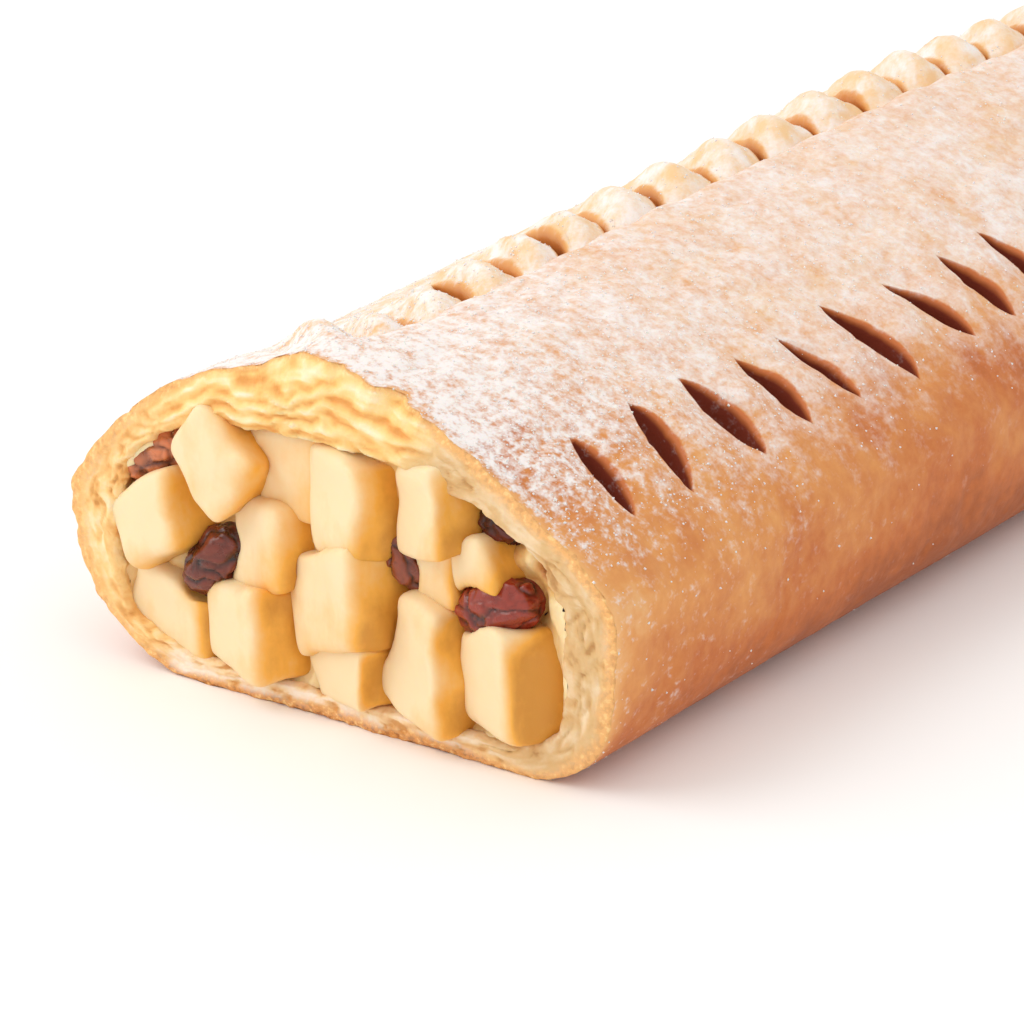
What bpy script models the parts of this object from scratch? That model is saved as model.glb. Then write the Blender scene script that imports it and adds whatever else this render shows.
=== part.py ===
"""Apple strudel, cut open at one end: baked dough roll, filling, and the fruit that shows at the cut.

The roll lies along Y with the cut end towards -Y, rests on Z = 0 and is built in metres.
"""
import math

import bmesh
import bpy
import numpy as np
from mathutils import Euler, Matrix, Vector

MM = 0.001

# The whole roll.
ROLL_LENGTH = 300.0 * MM
ROLL_WIDTH = 112.6 * MM
ROLL_HEIGHT = 64.0 * MM
FRUIT_REACH = 4.5 * MM
CUT_Y = FRUIT_REACH - ROLL_LENGTH / 2
FAR_Y = ROLL_LENGTH / 2

# The roll's section: four quarter curves that meet at the crown and at the belly line.
CROWN_X = -8.4 * MM
BELLY_Z = 30.1 * MM
SQUARENESS_UPPER_RIGHT = 1.49
SQUARENESS_UPPER_LEFT = 1.39
SQUARENESS_LOWER_RIGHT = 4.4
SQUARENESS_LOWER_LEFT = 2.6
SOLE_FLATTENING = 2.75 * MM

# The room for the filling, drawn with the same kind of quarter curves.
ROOM_WIDTH = 92.4 * MM
ROOM_TOP_Z = 48.8 * MM
ROOM_FLOOR_Z = 4.6 * MM
ROOM_CROWN_X = -2.0 * MM
ROOM_BELLY_Z = 24.0 * MM
ROOM_SQUARENESS_UPPER_RIGHT = 2.3
ROOM_SQUARENESS_UPPER_LEFT = 2.7
ROOM_SQUARENESS_LOWER_RIGHT = 6.0
ROOM_SQUARENESS_LOWER_LEFT = 4.5
WALL_FAR_END = 11.0 * MM

# The closed far end, rounded over and tucked down.
END_ROUNDING = 34.0 * MM
END_SQUARENESS = 2.7
END_LAST_SHARE = 0.975
END_TUCK_Z = 17.0 * MM
END_LIFT_SHARE = 0.45

# The two rows of slits: place along the roll from the cut in mm, and swing about the skin in degrees.
RIGHT_SLITS = (
    (20.8, -7.0),
    (38.0, -13.0),
    (56.0, 8.0),
    (72.5, 8.0),
    (87.0, 17.0),
    (104.0, 15.0),
    (123.5, 25.0),
    (140.5, 14.0),
)
LEFT_SLITS = (
    (27.0, -22.0),
    (41.0, -30.0),
    (57.5, -34.0),
    (71.5, -28.0),
    (85.0, -32.0),
    (100.0, -36.0),
    (117.0, -34.0),
    (134.0, -28.0),
    (151.0, -32.0),
    (168.0, -26.0),
)
RIGHT_SWING = math.radians(14.0)
LEFT_SWING = math.radians(-30.0)
SWING_SCATTER = math.radians(6.0)
SLIT_PITCH = 17.2 * MM
SLIT_SCATTER = 1.4 * MM
RIGHT_ROW_SEED = 3
LEFT_ROW_SEED = 5
LAST_SLIT_FROM_FAR_END = 40.0 * MM
RIGHT_SLIT_LENGTH = 19.0 * MM
RIGHT_SLIT_OPENING = 4.4 * MM
RIGHT_SLIT_X = 40.3 * MM
RIGHT_SLIT_Z = 46.8 * MM
RIGHT_SLIT_FALL = math.radians(32.0)
LEFT_SLIT_LENGTH = 19.0 * MM
LEFT_SLIT_OPENING = 5.0 * MM
LEFT_SLIT_X = -17.5 * MM
LEFT_SLIT_Z = 60.0 * MM
LEFT_SLIT_FALL = math.radians(-14.0)
SLIT_OPENING_LEAST = 0.8
SLIT_OPENING_MOST = 1.15
SLIT_DEPTH_IN = 13.0 * MM
SLIT_DEPTH_OUT = 9.0 * MM
SLIT_SPREAD_IN = 0.7
SLIT_SPREAD_OUT = 1.25
SLIT_SIDE_STEPS = 3

# Swellings of the dough between the slits, and the furrow along the left row.
RIGHT_PUFF = 1.3 * MM
LEFT_PUFF = 1.6 * MM
PUFF_SPREAD = 10.0 * MM
PUFF_MEAN = 0.5
SLANT_REACH = 12.0 * MM
FURROW_DEPTH = 2.6 * MM
FURROW_X = -6.5 * MM
FURROW_SPREAD = 4.2 * MM
FURROW_START = 9.0 * MM
FURROW_FULL = 30.0 * MM
LEFT_SHOULDER_LOW = 4.4 * MM
LEFT_SHOULDER_HIGH = 1.4 * MM
LEFT_SHOULDER_SPREAD = 18.0 * MM
LEFT_SHOULDER_LOW_PLACE = 45.0 * MM
LEFT_SHOULDER_HIGH_PLACE = 140.0 * MM
ROLL_WAVE = 0.4 * MM
ROLL_WAVE_LENGTH = 119.0 * MM
ROLL_WAVE_SLANT = 6.0

# Mesh fineness.
ROUND_STEPS = 32
LENGTH_STEPS = 27
END_STEPS = 5
ROOM_ROUND_STEPS = 24
ROOM_LENGTH_STEPS = 5
ROOM_END_STEPS = 3

# The filling stops short of the cut, and pieces stand apart by a thin gap.
FILLING_RECESS = 5.5 * MM
GAP = 0.32 * MM
CUTTER_OVERRUN = 6.0 * MM
APPLE_ROUNDING = 1.5 * MM
APPLE_ROUNDING_STEPS = 2
APPLE_ROUNDING_PROFILE = 0.55
APPLE_UNEVENNESS = 0.08
APPLE_SEED = 1000
ROOM_ROUNDING_SHARE = 0.4
RAISIN_ROUND_STEPS = 10
RAISIN_LENGTH_STEPS = 6
RAISIN_BLUNTNESS = 0.8
RAISIN_WRINKLE = 0.07
RAISIN_WRINKLES_ROUND = 5.0
RAISIN_WRINKLE_TWIST = 1.3
RAISIN_SEED = 2000

# Colours and finishes.
DOUGH_COLOUR = (0.68, 0.40, 0.17)
DOUGH_ROUGHNESS = 0.62
SAUCE_COLOUR = (0.70, 0.42, 0.15)
SAUCE_ROUGHNESS = 0.40
APPLE_COLOUR = (0.88, 0.70, 0.36)
APPLE_ROUGHNESS = 0.35
RAISIN_COLOUR = (0.13, 0.035, 0.018)
RAISIN_ROUGHNESS = 0.30
FRUIT_SUBSURFACE = 0.2

# Apple pieces: x, z of the front's middle, width, height, depth, turn, lean, proud of the cut, and how
# much wider the top is than the bottom. mm, degrees, share.
APPLES = {
    "apple_01": (-23.4, 41.4, 13.0, 13.5, 12.0, 10.0, 39.0, 1.8, 0.0),
    "apple_02": (-38.2, 27.0, 15.0, 12.5, 13.0, 14.0, -30.0, 0.8, 0.1),
    "apple_03": (-14.6, 27.6, 13.0, 13.5, 12.0, 20.0, -5.0, -0.4, -0.1),
    "apple_04": (-9.5, 40.6, 15.0, 12.5, 12.0, 6.0, -6.0, -2.6, 0.0),
    "apple_05": (3.8, 38.8, 13.5, 15.5, 12.0, 24.0, -4.0, 1.6, -0.08),
    "apple_06": (20.4, 42.0, 11.0, 14.5, 12.0, 24.0, -12.0, 1.4, -0.15),
    "apple_07": (29.6, 33.6, 10.0, 8.0, 11.0, 16.0, -16.0, -0.6, -0.3),
    "apple_08": (1.2, 21.6, 20.0, 15.0, 13.0, 24.0, -17.0, 2.0, 0.22),
    "apple_09": (3.4, 9.8, 14.0, 10.5, 12.0, 22.0, -5.0, 1.4, 0.12),
    "apple_10": (-17.2, 12.8, 15.5, 13.5, 13.0, 26.0, -4.0, 2.2, 0.0),
    "apple_11": (-36.4, 11.2, 18.0, 12.5, 12.0, 8.0, 12.0, -1.8, -0.15),
    "apple_12": (19.6, 15.0, 13.0, 19.5, 12.0, 22.0, 6.0, 1.2, -0.28),
    "apple_13": (35.2, 16.2, 13.0, 16.5, 12.0, 24.0, -3.0, 1.6, -0.08),
    "apple_14": (18.6, 29.4, 12.0, 9.5, 10.0, 8.0, -14.0, -1.8, 0.0),
}

# Raisins: x, z of the middle, length, thickness, depth, lean, proud of the cut. mm, degrees.
RAISINS = {
    "raisin_01": (-40.2, 38.0, 19.5, 9.5, 9.0, 32.0, -0.6),
    "raisin_02": (-27.2, 22.0, 17.0, 10.0, 9.0, 50.0, 0.8),
    "raisin_03": (12.4, 31.2, 13.0, 7.5, 8.0, -56.0, -0.4),
    "raisin_04": (32.0, 27.4, 17.0, 10.5, 9.5, 22.0, 1.6),
    "raisin_05": (30.4, 40.8, 9.0, 8.0, 8.0, -38.0, -2.2),
}

# Pieces in the order in which they keep their whole shape: each is trimmed by those before it.
TRIM_ORDER = (
    "apple_01 apple_10 raisin_04 apple_05 apple_08 raisin_02 apple_13 apple_02 apple_03 apple_06"
    " apple_12 apple_09 raisin_03 apple_07 raisin_01 apple_11 apple_04 raisin_05 apple_14"
).split()


def clear_scene():
    """Take out whatever the scene holds."""
    for item in list(bpy.data.objects):
        bpy.data.objects.remove(item, do_unlink=True)


def new_collection(name):
    """A collection linked to the scene."""
    made = bpy.data.collections.new(name)
    bpy.context.scene.collection.children.link(made)
    return made


def new_material(name, colour, roughness, subsurface=0.0):
    """A Principled material with a plain colour."""
    made = bpy.data.materials.new(name)
    made.use_nodes = True
    shader = made.node_tree.nodes["Principled BSDF"]
    shader.inputs["Base Color"].default_value = (*colour, 1.0)
    shader.inputs["Roughness"].default_value = roughness
    shader.inputs["Subsurface Weight"].default_value = subsurface
    made.diffuse_color = (*colour, 1.0)
    return made


def new_object(name, bm, collection, material=None):
    """An object from a bmesh, with its normals turned outward."""
    bmesh.ops.recalc_face_normals(bm, faces=bm.faces)
    mesh = bpy.data.meshes.new(name)
    bm.to_mesh(mesh)
    bm.free()
    made = bpy.data.objects.new(name, mesh)
    collection.objects.link(made)
    if material is None:
        made.hide_render = True
        made.display_type = "WIRE"
    else:
        mesh.materials.append(material)
    return made


def smooth_step(value):
    """0 below 0, 1 above 1, and a smooth rise between."""
    held = np.clip(value, 0.0, 1.0)
    return held * held * (3.0 - 2.0 * held)


def bell(value, spread):
    """A bump of height 1 at zero that dies away over the given spread."""
    return np.exp(-((value / spread) ** 2))


def resample(points, count):
    """Points spaced evenly along a closed line, starting at its first point."""
    closed = np.vstack([points, points[:1]])
    steps = np.linalg.norm(np.diff(closed, axis=0), axis=1)
    along = np.concatenate([[0.0], np.cumsum(steps)])
    wanted = np.linspace(0.0, along[-1], count, endpoint=False)
    x = np.interp(wanted, along, closed[:, 0])
    z = np.interp(wanted, along, closed[:, 1])
    return np.stack([x, z], axis=1)


def quarter_curves(count, half_width, crown_x, belly_z, top_z, bottom_z, powers):
    """A closed outline in the XZ plane, anticlockwise seen from the cut, starting at the right flank."""
    turn = np.linspace(0.0, 2.0 * math.pi, 16 * count, endpoint=False)
    across = np.cos(turn)
    rise = np.sin(turn)
    right = across >= 0.0
    upper = rise >= 0.0
    power = np.where(upper, np.where(right, powers[0], powers[1]), np.where(right, powers[2], powers[3]))
    half = np.where(right, half_width - crown_x, half_width + crown_x)
    reach = np.where(upper, top_z - belly_z, belly_z - bottom_z)
    x = crown_x + half * np.sign(across) * np.abs(across) ** (2.0 / power)
    z = belly_z + reach * np.sign(rise) * np.abs(rise) ** (2.0 / power)
    return np.stack([x, z], axis=1)


def roll_section(count):
    """The roll's outline, with its sole pressed flat."""
    powers = (
        SQUARENESS_UPPER_RIGHT,
        SQUARENESS_UPPER_LEFT,
        SQUARENESS_LOWER_RIGHT,
        SQUARENESS_LOWER_LEFT,
    )
    line = quarter_curves(
        count, ROLL_WIDTH / 2, CROWN_X, BELLY_Z, ROLL_HEIGHT, -SOLE_FLATTENING, powers
    )
    line[:, 1] = np.maximum(line[:, 1], 0.0)
    return resample(line, count)


def room_section(count, shrink):
    """The outline of the room for the filling, drawn in by shrink on every side."""
    powers = (
        ROOM_SQUARENESS_UPPER_RIGHT,
        ROOM_SQUARENESS_UPPER_LEFT,
        ROOM_SQUARENESS_LOWER_RIGHT,
        ROOM_SQUARENESS_LOWER_LEFT,
    )
    line = quarter_curves(
        count,
        ROOM_WIDTH / 2 - shrink,
        ROOM_CROWN_X,
        ROOM_BELLY_Z,
        ROOM_TOP_Z - shrink,
        ROOM_FLOOR_Z + shrink,
        powers,
    )
    return resample(line, count)


def outward_normals(line):
    """Unit normals of a closed anticlockwise line in the XZ plane."""
    along = np.roll(line, -1, axis=0) - np.roll(line, 1, axis=0)
    normals = np.stack([along[:, 1], -along[:, 0]], axis=1)
    return normals / np.linalg.norm(normals, axis=1)[:, None]


def slit_row(given, usual_swing, seed):
    """Places and swings of a row of slits, the given ones first and the rest at the usual pitch."""
    random = np.random.default_rng(seed)
    places = [CUT_Y + place * MM for place, _ in given]
    swings = [math.radians(swing) for _, swing in given]
    while places[-1] + SLIT_PITCH < FAR_Y - LAST_SLIT_FROM_FAR_END:
        places.append(places[-1] + SLIT_PITCH + random.uniform(-SLIT_SCATTER, SLIT_SCATTER))
        swings.append(usual_swing + random.uniform(-SWING_SCATTER, SWING_SCATTER))
    return np.array(places), swings


def puff_height(y, places):
    """1 midway between neighbouring slits, 0 on a slit, and fading out past the row's ends."""
    stations = np.concatenate([[places[0] - SLIT_PITCH], places, [places[-1] + SLIT_PITCH]])
    phase = np.interp(y, stations, np.arange(len(stations)))
    wave = np.sin(math.pi * phase) ** 2
    inside = (y > stations[0]) & (y < stations[-1])
    return np.where(inside, wave, 0.0)


def swell(line, y, right_places, left_places):
    """How far the skin stands off the plain section at each point of a ring."""
    near_right = bell(np.hypot(line[:, 0] - RIGHT_SLIT_X, line[:, 1] - RIGHT_SLIT_Z), PUFF_SPREAD)
    near_left = bell(np.hypot(line[:, 0] - LEFT_SLIT_X, line[:, 1] - LEFT_SLIT_Z), PUFF_SPREAD)
    furrow_line = bell(line[:, 0] - FURROW_X, FURROW_SPREAD) * (line[:, 1] > BELLY_Z)
    fade_in = smooth_step((y - CUT_Y - FURROW_START) / (FURROW_FULL - FURROW_START))
    fade_out = 1.0 - smooth_step((y - FAR_Y + LAST_SLIT_FROM_FAR_END) / SLIT_PITCH)
    off_sole = smooth_step(line[:, 1] / (BELLY_Z / 2))
    left_shoulder = bell(np.hypot(line[:, 0] - LEFT_SLIT_X, line[:, 1] - LEFT_SLIT_Z), LEFT_SHOULDER_SPREAD)
    low = LEFT_SHOULDER_LOW * bell(y - CUT_Y - LEFT_SHOULDER_LOW_PLACE, LEFT_SHOULDER_LOW_PLACE)
    high = LEFT_SHOULDER_HIGH * smooth_step((y - CUT_Y) / LEFT_SHOULDER_HIGH_PLACE - 0.5)
    wave = np.sin(2.0 * math.pi * y / ROLL_WAVE_LENGTH + ROLL_WAVE_SLANT * line[:, 0] / ROLL_WIDTH)
    aside = np.clip(line[:, 0] - LEFT_SLIT_X, -SLANT_REACH, SLANT_REACH)
    left_puffs = puff_height(y - aside * math.tan(LEFT_SWING), left_places)
    return (
        RIGHT_PUFF * near_right * (puff_height(y, right_places) - PUFF_MEAN)
        + LEFT_PUFF * near_left * (left_puffs - PUFF_MEAN)
        - FURROW_DEPTH * furrow_line * fade_in * fade_out
        + (high - low) * left_shoulder * fade_in * fade_out
        + ROLL_WAVE * wave * off_sole * fade_in * fade_out
    )


def end_share(y, end_y, rounding):
    """The share of the full section that is left at y, falling in a round towards the end."""
    over = np.clip((y - (end_y - rounding)) / rounding, 0.0, END_LAST_SHARE)
    return (1.0 - over**END_SQUARENESS) ** (1.0 / END_SQUARENESS)


def shrink_to_end(ring, share):
    """Draw a ring in towards the tuck line, less at the sole than at the top."""
    x = ring[:, 0] * share
    low_share = 1.0 - (1.0 - share) * END_LIFT_SHARE
    fall = ring[:, 1] - END_TUCK_Z
    z = END_TUCK_Z + fall * np.where(fall > 0.0, share, low_share)
    return np.stack([x, z], axis=1)


def stations(start, end, rounding, length_steps, end_steps):
    """Ring places from start to end, closer together where the end rounds over."""
    plain = np.linspace(start, end - rounding, length_steps)
    angle = np.linspace(0.0, math.pi / 2, end_steps + 2)[1:-1]
    rounded = end - rounding + rounding * np.sin(angle)
    return np.concatenate([plain, rounded, [end - rounding * (1.0 - END_LAST_SHARE)]])


def loft(rings, tip_y):
    """A closed body through rings of (x, z) at each y, flat at its first end and drawn to a tip at tip_y."""
    bm = bmesh.new()
    loops = []
    for y, ring in rings:
        loops.append([bm.verts.new((x, y, z)) for x, z in ring])
    for first, second in zip(loops[:-1], loops[1:]):
        for k in range(len(first)):
            after = (k + 1) % len(first)
            bm.faces.new((first[k], first[after], second[after], second[k]))
    bm.faces.new(loops[0])
    middle = rings[-1][1].mean(axis=0)
    tip = bm.verts.new((middle[0], tip_y, middle[1]))
    for k in range(len(loops[-1])):
        bm.faces.new((loops[-1][k], loops[-1][(k + 1) % len(loops[-1])], tip))
    return bm


def dough_body():
    """The outside of the dough roll, solid."""
    section = roll_section(ROUND_STEPS)
    normals = outward_normals(section)
    right_places, _ = slit_row(RIGHT_SLITS, RIGHT_SWING, RIGHT_ROW_SEED)
    left_places, _ = slit_row(LEFT_SLITS, LEFT_SWING, LEFT_ROW_SEED)
    rings = []
    for y in stations(CUT_Y, FAR_Y, END_ROUNDING, LENGTH_STEPS, END_STEPS):
        ring = section + normals * swell(section, y, right_places, left_places)[:, None]
        ring[:, 1] = np.maximum(ring[:, 1], 0.0)
        rings.append((y, shrink_to_end(ring, end_share(y, FAR_Y, END_ROUNDING))))
    return loft(rings, FAR_Y)


def inner_body(start_y, shrink):
    """The room inside the dough, drawn in by a further shrink on every side."""
    section = room_section(ROOM_ROUND_STEPS, shrink)
    end_y = FAR_Y - WALL_FAR_END - shrink
    rings = []
    for y in stations(start_y, end_y, END_ROUNDING, ROOM_LENGTH_STEPS, ROOM_END_STEPS):
        rings.append((y, shrink_to_end(section, end_share(y, end_y, END_ROUNDING))))
    return loft(rings, end_y)


def add_slit(bm, centre, fall, swing, length, opening):
    """A lens-shaped prism across the shoulder, long enough to pass through the dough."""
    chord = Vector((math.cos(fall), 0.0, -math.sin(fall)))
    normal = Vector((math.sin(fall), 0.0, math.cos(fall)))
    chord = Matrix.Rotation(swing, 3, normal) @ chord
    side = normal.cross(chord)
    outline = []
    for step in range(SLIT_SIDE_STEPS):
        along = -1.0 + 2.0 * step / SLIT_SIDE_STEPS
        outline.append((along, 1.0 - along**2))
    for step in range(SLIT_SIDE_STEPS):
        along = 1.0 - 2.0 * step / SLIT_SIDE_STEPS
        outline.append((along, along**2 - 1.0))
    levels = []
    for depth, spread in ((SLIT_DEPTH_OUT, SLIT_SPREAD_OUT), (-SLIT_DEPTH_IN, SLIT_SPREAD_IN)):
        level = []
        for along, half in outline:
            point = centre + chord * (along * length / 2) + side * (half * spread * opening / 2)
            level.append(bm.verts.new(point + normal * depth))
        levels.append(level)
    top, bottom = levels
    bm.faces.new(top)
    bm.faces.new(reversed(bottom))
    for k in range(len(top)):
        after = (k + 1) % len(top)
        bm.faces.new((top[k], bottom[k], bottom[after], top[after]))


def slit_cutters(collection):
    """One object that holds every slit of both rows."""
    bm = bmesh.new()
    rows = (
        (RIGHT_SLITS, RIGHT_SWING, RIGHT_ROW_SEED, RIGHT_SLIT_X, RIGHT_SLIT_Z, RIGHT_SLIT_FALL),
        (LEFT_SLITS, LEFT_SWING, LEFT_ROW_SEED, LEFT_SLIT_X, LEFT_SLIT_Z, LEFT_SLIT_FALL),
    )
    sizes = ((RIGHT_SLIT_LENGTH, RIGHT_SLIT_OPENING), (LEFT_SLIT_LENGTH, LEFT_SLIT_OPENING))
    for (given, usual_swing, seed, x, z, fall), (length, opening) in zip(rows, sizes):
        random = np.random.default_rng(seed)
        for y, swing in zip(*slit_row(given, usual_swing, seed)):
            own_opening = opening * random.uniform(SLIT_OPENING_LEAST, SLIT_OPENING_MOST)
            add_slit(bm, Vector((x, y, z)), fall, swing, length, own_opening)
    return new_object("slit_cutters", bm, collection)


def apple_bmesh(row, grow, rounding, steps):
    """One rounded block of apple, with slightly uneven corners, grown on every side by grow."""
    x, z, width, height, depth, turn, lean, proud, flare = row
    random = np.random.default_rng(int(APPLE_SEED + 10 * abs(x) + z))
    bm = bmesh.new()
    bmesh.ops.create_cube(bm, size=1.0)
    for vert in bm.verts:
        uneven = random.uniform(-APPLE_UNEVENNESS, APPLE_UNEVENNESS, 3)
        corner = Vector((vert.co.x * 2, vert.co.y * 2, vert.co.z * 2))
        half = Vector((width * (1.0 + flare * corner.z), depth, height)) * (0.5 * MM)
        vert.co = Vector(corner[i] * (half[i] * (1.0 + uneven[i]) + grow) for i in range(3))
    bmesh.ops.bevel(
        bm,
        geom=list(bm.edges),
        offset=rounding,
        segments=steps,
        profile=APPLE_ROUNDING_PROFILE,
        affect="EDGES",
    )
    spin = Euler((0.0, math.radians(lean), -math.radians(turn))).to_matrix().to_4x4()
    middle = Vector((x * MM, CUT_Y + (depth / 2 - proud) * MM, z * MM))
    bmesh.ops.transform(bm, matrix=Matrix.Translation(middle) @ spin, verts=bm.verts)
    return bm


def raisin_bmesh(row, grow):
    """One raisin: a long egg with lengthwise wrinkles."""
    x, z, length, thickness, depth, lean, proud = row
    random = np.random.default_rng(int(RAISIN_SEED + 10 * abs(x) + z))
    phase = random.uniform(0.0, 2.0 * math.pi)
    bm = bmesh.new()
    rings = []
    for i in range(1, RAISIN_LENGTH_STEPS):
        angle = math.pi * i / RAISIN_LENGTH_STEPS
        along = -math.cos(angle) * (length * MM / 2 + grow)
        girth = math.sin(angle) ** RAISIN_BLUNTNESS
        ring = []
        for k in range(RAISIN_ROUND_STEPS):
            round_angle = 2.0 * math.pi * k / RAISIN_ROUND_STEPS
            turn = RAISIN_WRINKLES_ROUND * round_angle + phase + RAISIN_WRINKLE_TWIST * angle
            wrinkle = 1.0 + RAISIN_WRINKLE * math.sin(turn)
            across = (thickness * MM / 2 * wrinkle + grow) * girth * math.cos(round_angle)
            deep = (depth * MM / 2 * wrinkle + grow) * girth * math.sin(round_angle)
            ring.append(bm.verts.new((along, deep, across)))
        rings.append(ring)
    for first, second in zip(rings[:-1], rings[1:]):
        for k in range(RAISIN_ROUND_STEPS):
            after = (k + 1) % RAISIN_ROUND_STEPS
            bm.faces.new((first[k], first[after], second[after], second[k]))
    for ring, sign in ((rings[0], -1.0), (rings[-1], 1.0)):
        tip = bm.verts.new((sign * (length * MM / 2 + grow), 0.0, 0.0))
        for k in range(RAISIN_ROUND_STEPS):
            bm.faces.new((ring[k], ring[(k + 1) % RAISIN_ROUND_STEPS], tip))
    spin = Matrix.Rotation(-math.radians(lean), 4, "Y")
    middle = Vector((x * MM, CUT_Y + (depth / 2 - proud) * MM, z * MM))
    bmesh.ops.transform(bm, matrix=Matrix.Translation(middle) @ spin, verts=bm.verts)
    return bm


def cut_by(target, cutters):
    """Take the volume of every cutter out of the target, in one step."""
    group = new_collection("cutters_of_" + target.name)
    for cutter in cutters:
        group.objects.link(cutter)
    step = target.modifiers.new("less_neighbours", "BOOLEAN")
    step.operation = "DIFFERENCE"
    step.solver = "EXACT"
    step.operand_type = "COLLECTION"
    step.collection = group


def bounds(item):
    """The lowest and highest corners of an object's own mesh."""
    points = np.array([vert.co for vert in item.data.vertices])
    return points.min(axis=0), points.max(axis=0)


def boxes_meet(first, second):
    """Whether the boxes round two objects overlap."""
    low_a, high_a = bounds(first)
    low_b, high_b = bounds(second)
    return bool(np.all(low_a < high_b) and np.all(low_b < high_a))


def build():
    """Make the dough, the filling and every piece of fruit at the cut."""
    clear_scene()
    parts = new_collection("apple_strudel")
    cutters = new_collection("cutters")

    baked = new_material("baked_dough", DOUGH_COLOUR, DOUGH_ROUGHNESS)
    crust = new_object("pastry_crust", dough_body(), parts, baked)
    room = new_object("room_for_filling", inner_body(CUT_Y - CUTTER_OVERRUN, 0.0), cutters)
    slits = slit_cutters(cutters)
    sauce = new_material("thick_sauce", SAUCE_COLOUR, SAUCE_ROUGHNESS, FRUIT_SUBSURFACE)
    filling = new_object("fruit_filling", inner_body(CUT_Y + FILLING_RECESS, GAP), parts, sauce)

    placed = []
    for name in TRIM_ORDER:
        if name in APPLES:
            flesh = new_material("flesh_of_" + name, APPLE_COLOUR, APPLE_ROUGHNESS, FRUIT_SUBSURFACE)
            whole = apple_bmesh(APPLES[name], 0.0, APPLE_ROUNDING, APPLE_ROUNDING_STEPS)
            body = new_object(name, whole, parts, flesh)
            grown = apple_bmesh(APPLES[name], GAP, APPLE_ROUNDING * ROOM_ROUNDING_SHARE, 1)
        else:
            skin = new_material("skin_of_" + name, RAISIN_COLOUR, RAISIN_ROUGHNESS)
            body = new_object(name, raisin_bmesh(RAISINS[name], 0.0), parts, skin)
            grown = raisin_bmesh(RAISINS[name], GAP)
        placed.append((body, new_object("room_of_" + name, grown, cutters)))

    rooms = [grown for _, grown in placed]
    for place, (body, _) in enumerate(placed):
        earlier = [grown for grown in rooms[:place] if boxes_meet(body, grown)]
        if earlier:
            cut_by(body, earlier)
    cut_by(filling, rooms)
    cut_by(crust, [room, slits] + rooms)


build()
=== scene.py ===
"""Apple strudel cut open at one end: sugared crust with slits, layered rim of dough, fruit and filling.

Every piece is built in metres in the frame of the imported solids. The roll lies along Y, with its cut
end towards -Y, and rests on Z = 0.
"""

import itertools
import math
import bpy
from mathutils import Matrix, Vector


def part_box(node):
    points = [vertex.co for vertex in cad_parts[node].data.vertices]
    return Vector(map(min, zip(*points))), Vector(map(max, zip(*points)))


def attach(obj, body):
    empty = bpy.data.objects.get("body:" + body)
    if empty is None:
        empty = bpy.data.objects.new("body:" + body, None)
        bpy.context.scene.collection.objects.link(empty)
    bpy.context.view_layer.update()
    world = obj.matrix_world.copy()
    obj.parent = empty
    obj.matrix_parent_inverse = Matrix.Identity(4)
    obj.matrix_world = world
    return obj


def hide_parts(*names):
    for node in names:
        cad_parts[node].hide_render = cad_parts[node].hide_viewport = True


bl_info = {
    "name": "Apple Strudel",
    "version": (1, 0, 0),
    "blender": (4, 5, 0),
    "location": "View3D > Sidebar > Strudel",
    "description": "Builds a cut apple strudel with icing sugar, piece by piece",
    "category": "Add Mesh",
}

import bpy
import numpy as np
from bpy.props import FloatProperty, FloatVectorProperty, IntProperty, PointerProperty
from mathutils import Vector
from mathutils.bvhtree import BVHTree

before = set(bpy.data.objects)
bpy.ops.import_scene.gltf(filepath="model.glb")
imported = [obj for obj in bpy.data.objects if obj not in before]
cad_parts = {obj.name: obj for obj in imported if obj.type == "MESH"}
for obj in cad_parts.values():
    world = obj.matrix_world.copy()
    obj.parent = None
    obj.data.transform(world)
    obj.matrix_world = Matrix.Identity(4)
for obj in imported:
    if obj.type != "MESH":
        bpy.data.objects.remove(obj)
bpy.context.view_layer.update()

MM = 0.001
CRUST_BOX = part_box("pastry_crust")
CUT_Y = CRUST_BOX[0].y
FAR_Y = CRUST_BOX[1].y

# The roll's section: four quarter curves that meet at the crown and at the belly line.
ROLL_WIDTH = 112.6 * MM
ROLL_HEIGHT = 63.9 * MM
CROWN_X = -8.4 * MM
BELLY_Z = 30.1 * MM
ROLL_SQUARENESS = (1.49, 1.39, 4.4, 2.6)
SOLE_FLATTENING = 2.75 * MM

# The room for the filling, in the same four quarter curves. Squareness runs from the upper right over
# the upper left and the lower right to the lower left.
ROOM_WIDTH = 92.4 * MM
ROOM_TOP_Z = 48.8 * MM
ROOM_FLOOR_Z = 4.6 * MM
ROOM_CROWN_X = -2.0 * MM
ROOM_BELLY_Z = 24.0 * MM
ROOM_SQUARENESS = (2.3, 2.7, 6.0, 4.5)

# The closed far end: how far its rounding reaches, how square it is, the height its rings shrink
# towards, and how much of that its underside takes part in.
END_ROUNDING = 34.0 * MM
END_SQUARENESS = 2.7
END_TUCK_Z = 17.0 * MM
END_LIFT_SHARE = 0.45

# Slits: place along the roll from the cut in mm, swing in degrees, opening in mm.
# The rows carry on from these at the usual pitch, swing and opening.
RIGHT_SLITS = (
    (20.8, -7.0, 4.4),
    (38.0, -13.0, 5.6),
    (56.0, 8.0, 5.6),
    (72.5, 8.0, 4.4),
    (87.0, 17.0, 3.0),
    (104.0, 15.0, 5.4),
    (123.5, 25.0, 4.4),
    (140.5, 14.0, 4.6),
)
LEFT_SLITS = (
    (27.0, -22.0, 0.3),
    (41.0, -30.0, 0.8),
    (57.5, -34.0, 2.6),
    (71.5, -28.0, 0.4),
    (85.0, -32.0, 2.8),
    (100.0, -36.0, 0.6),
    (117.0, -34.0, 2.6),
    (134.0, -28.0, 0.5),
    (151.0, -32.0, 2.4),
    (168.0, -26.0, 0.8),
)

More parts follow.
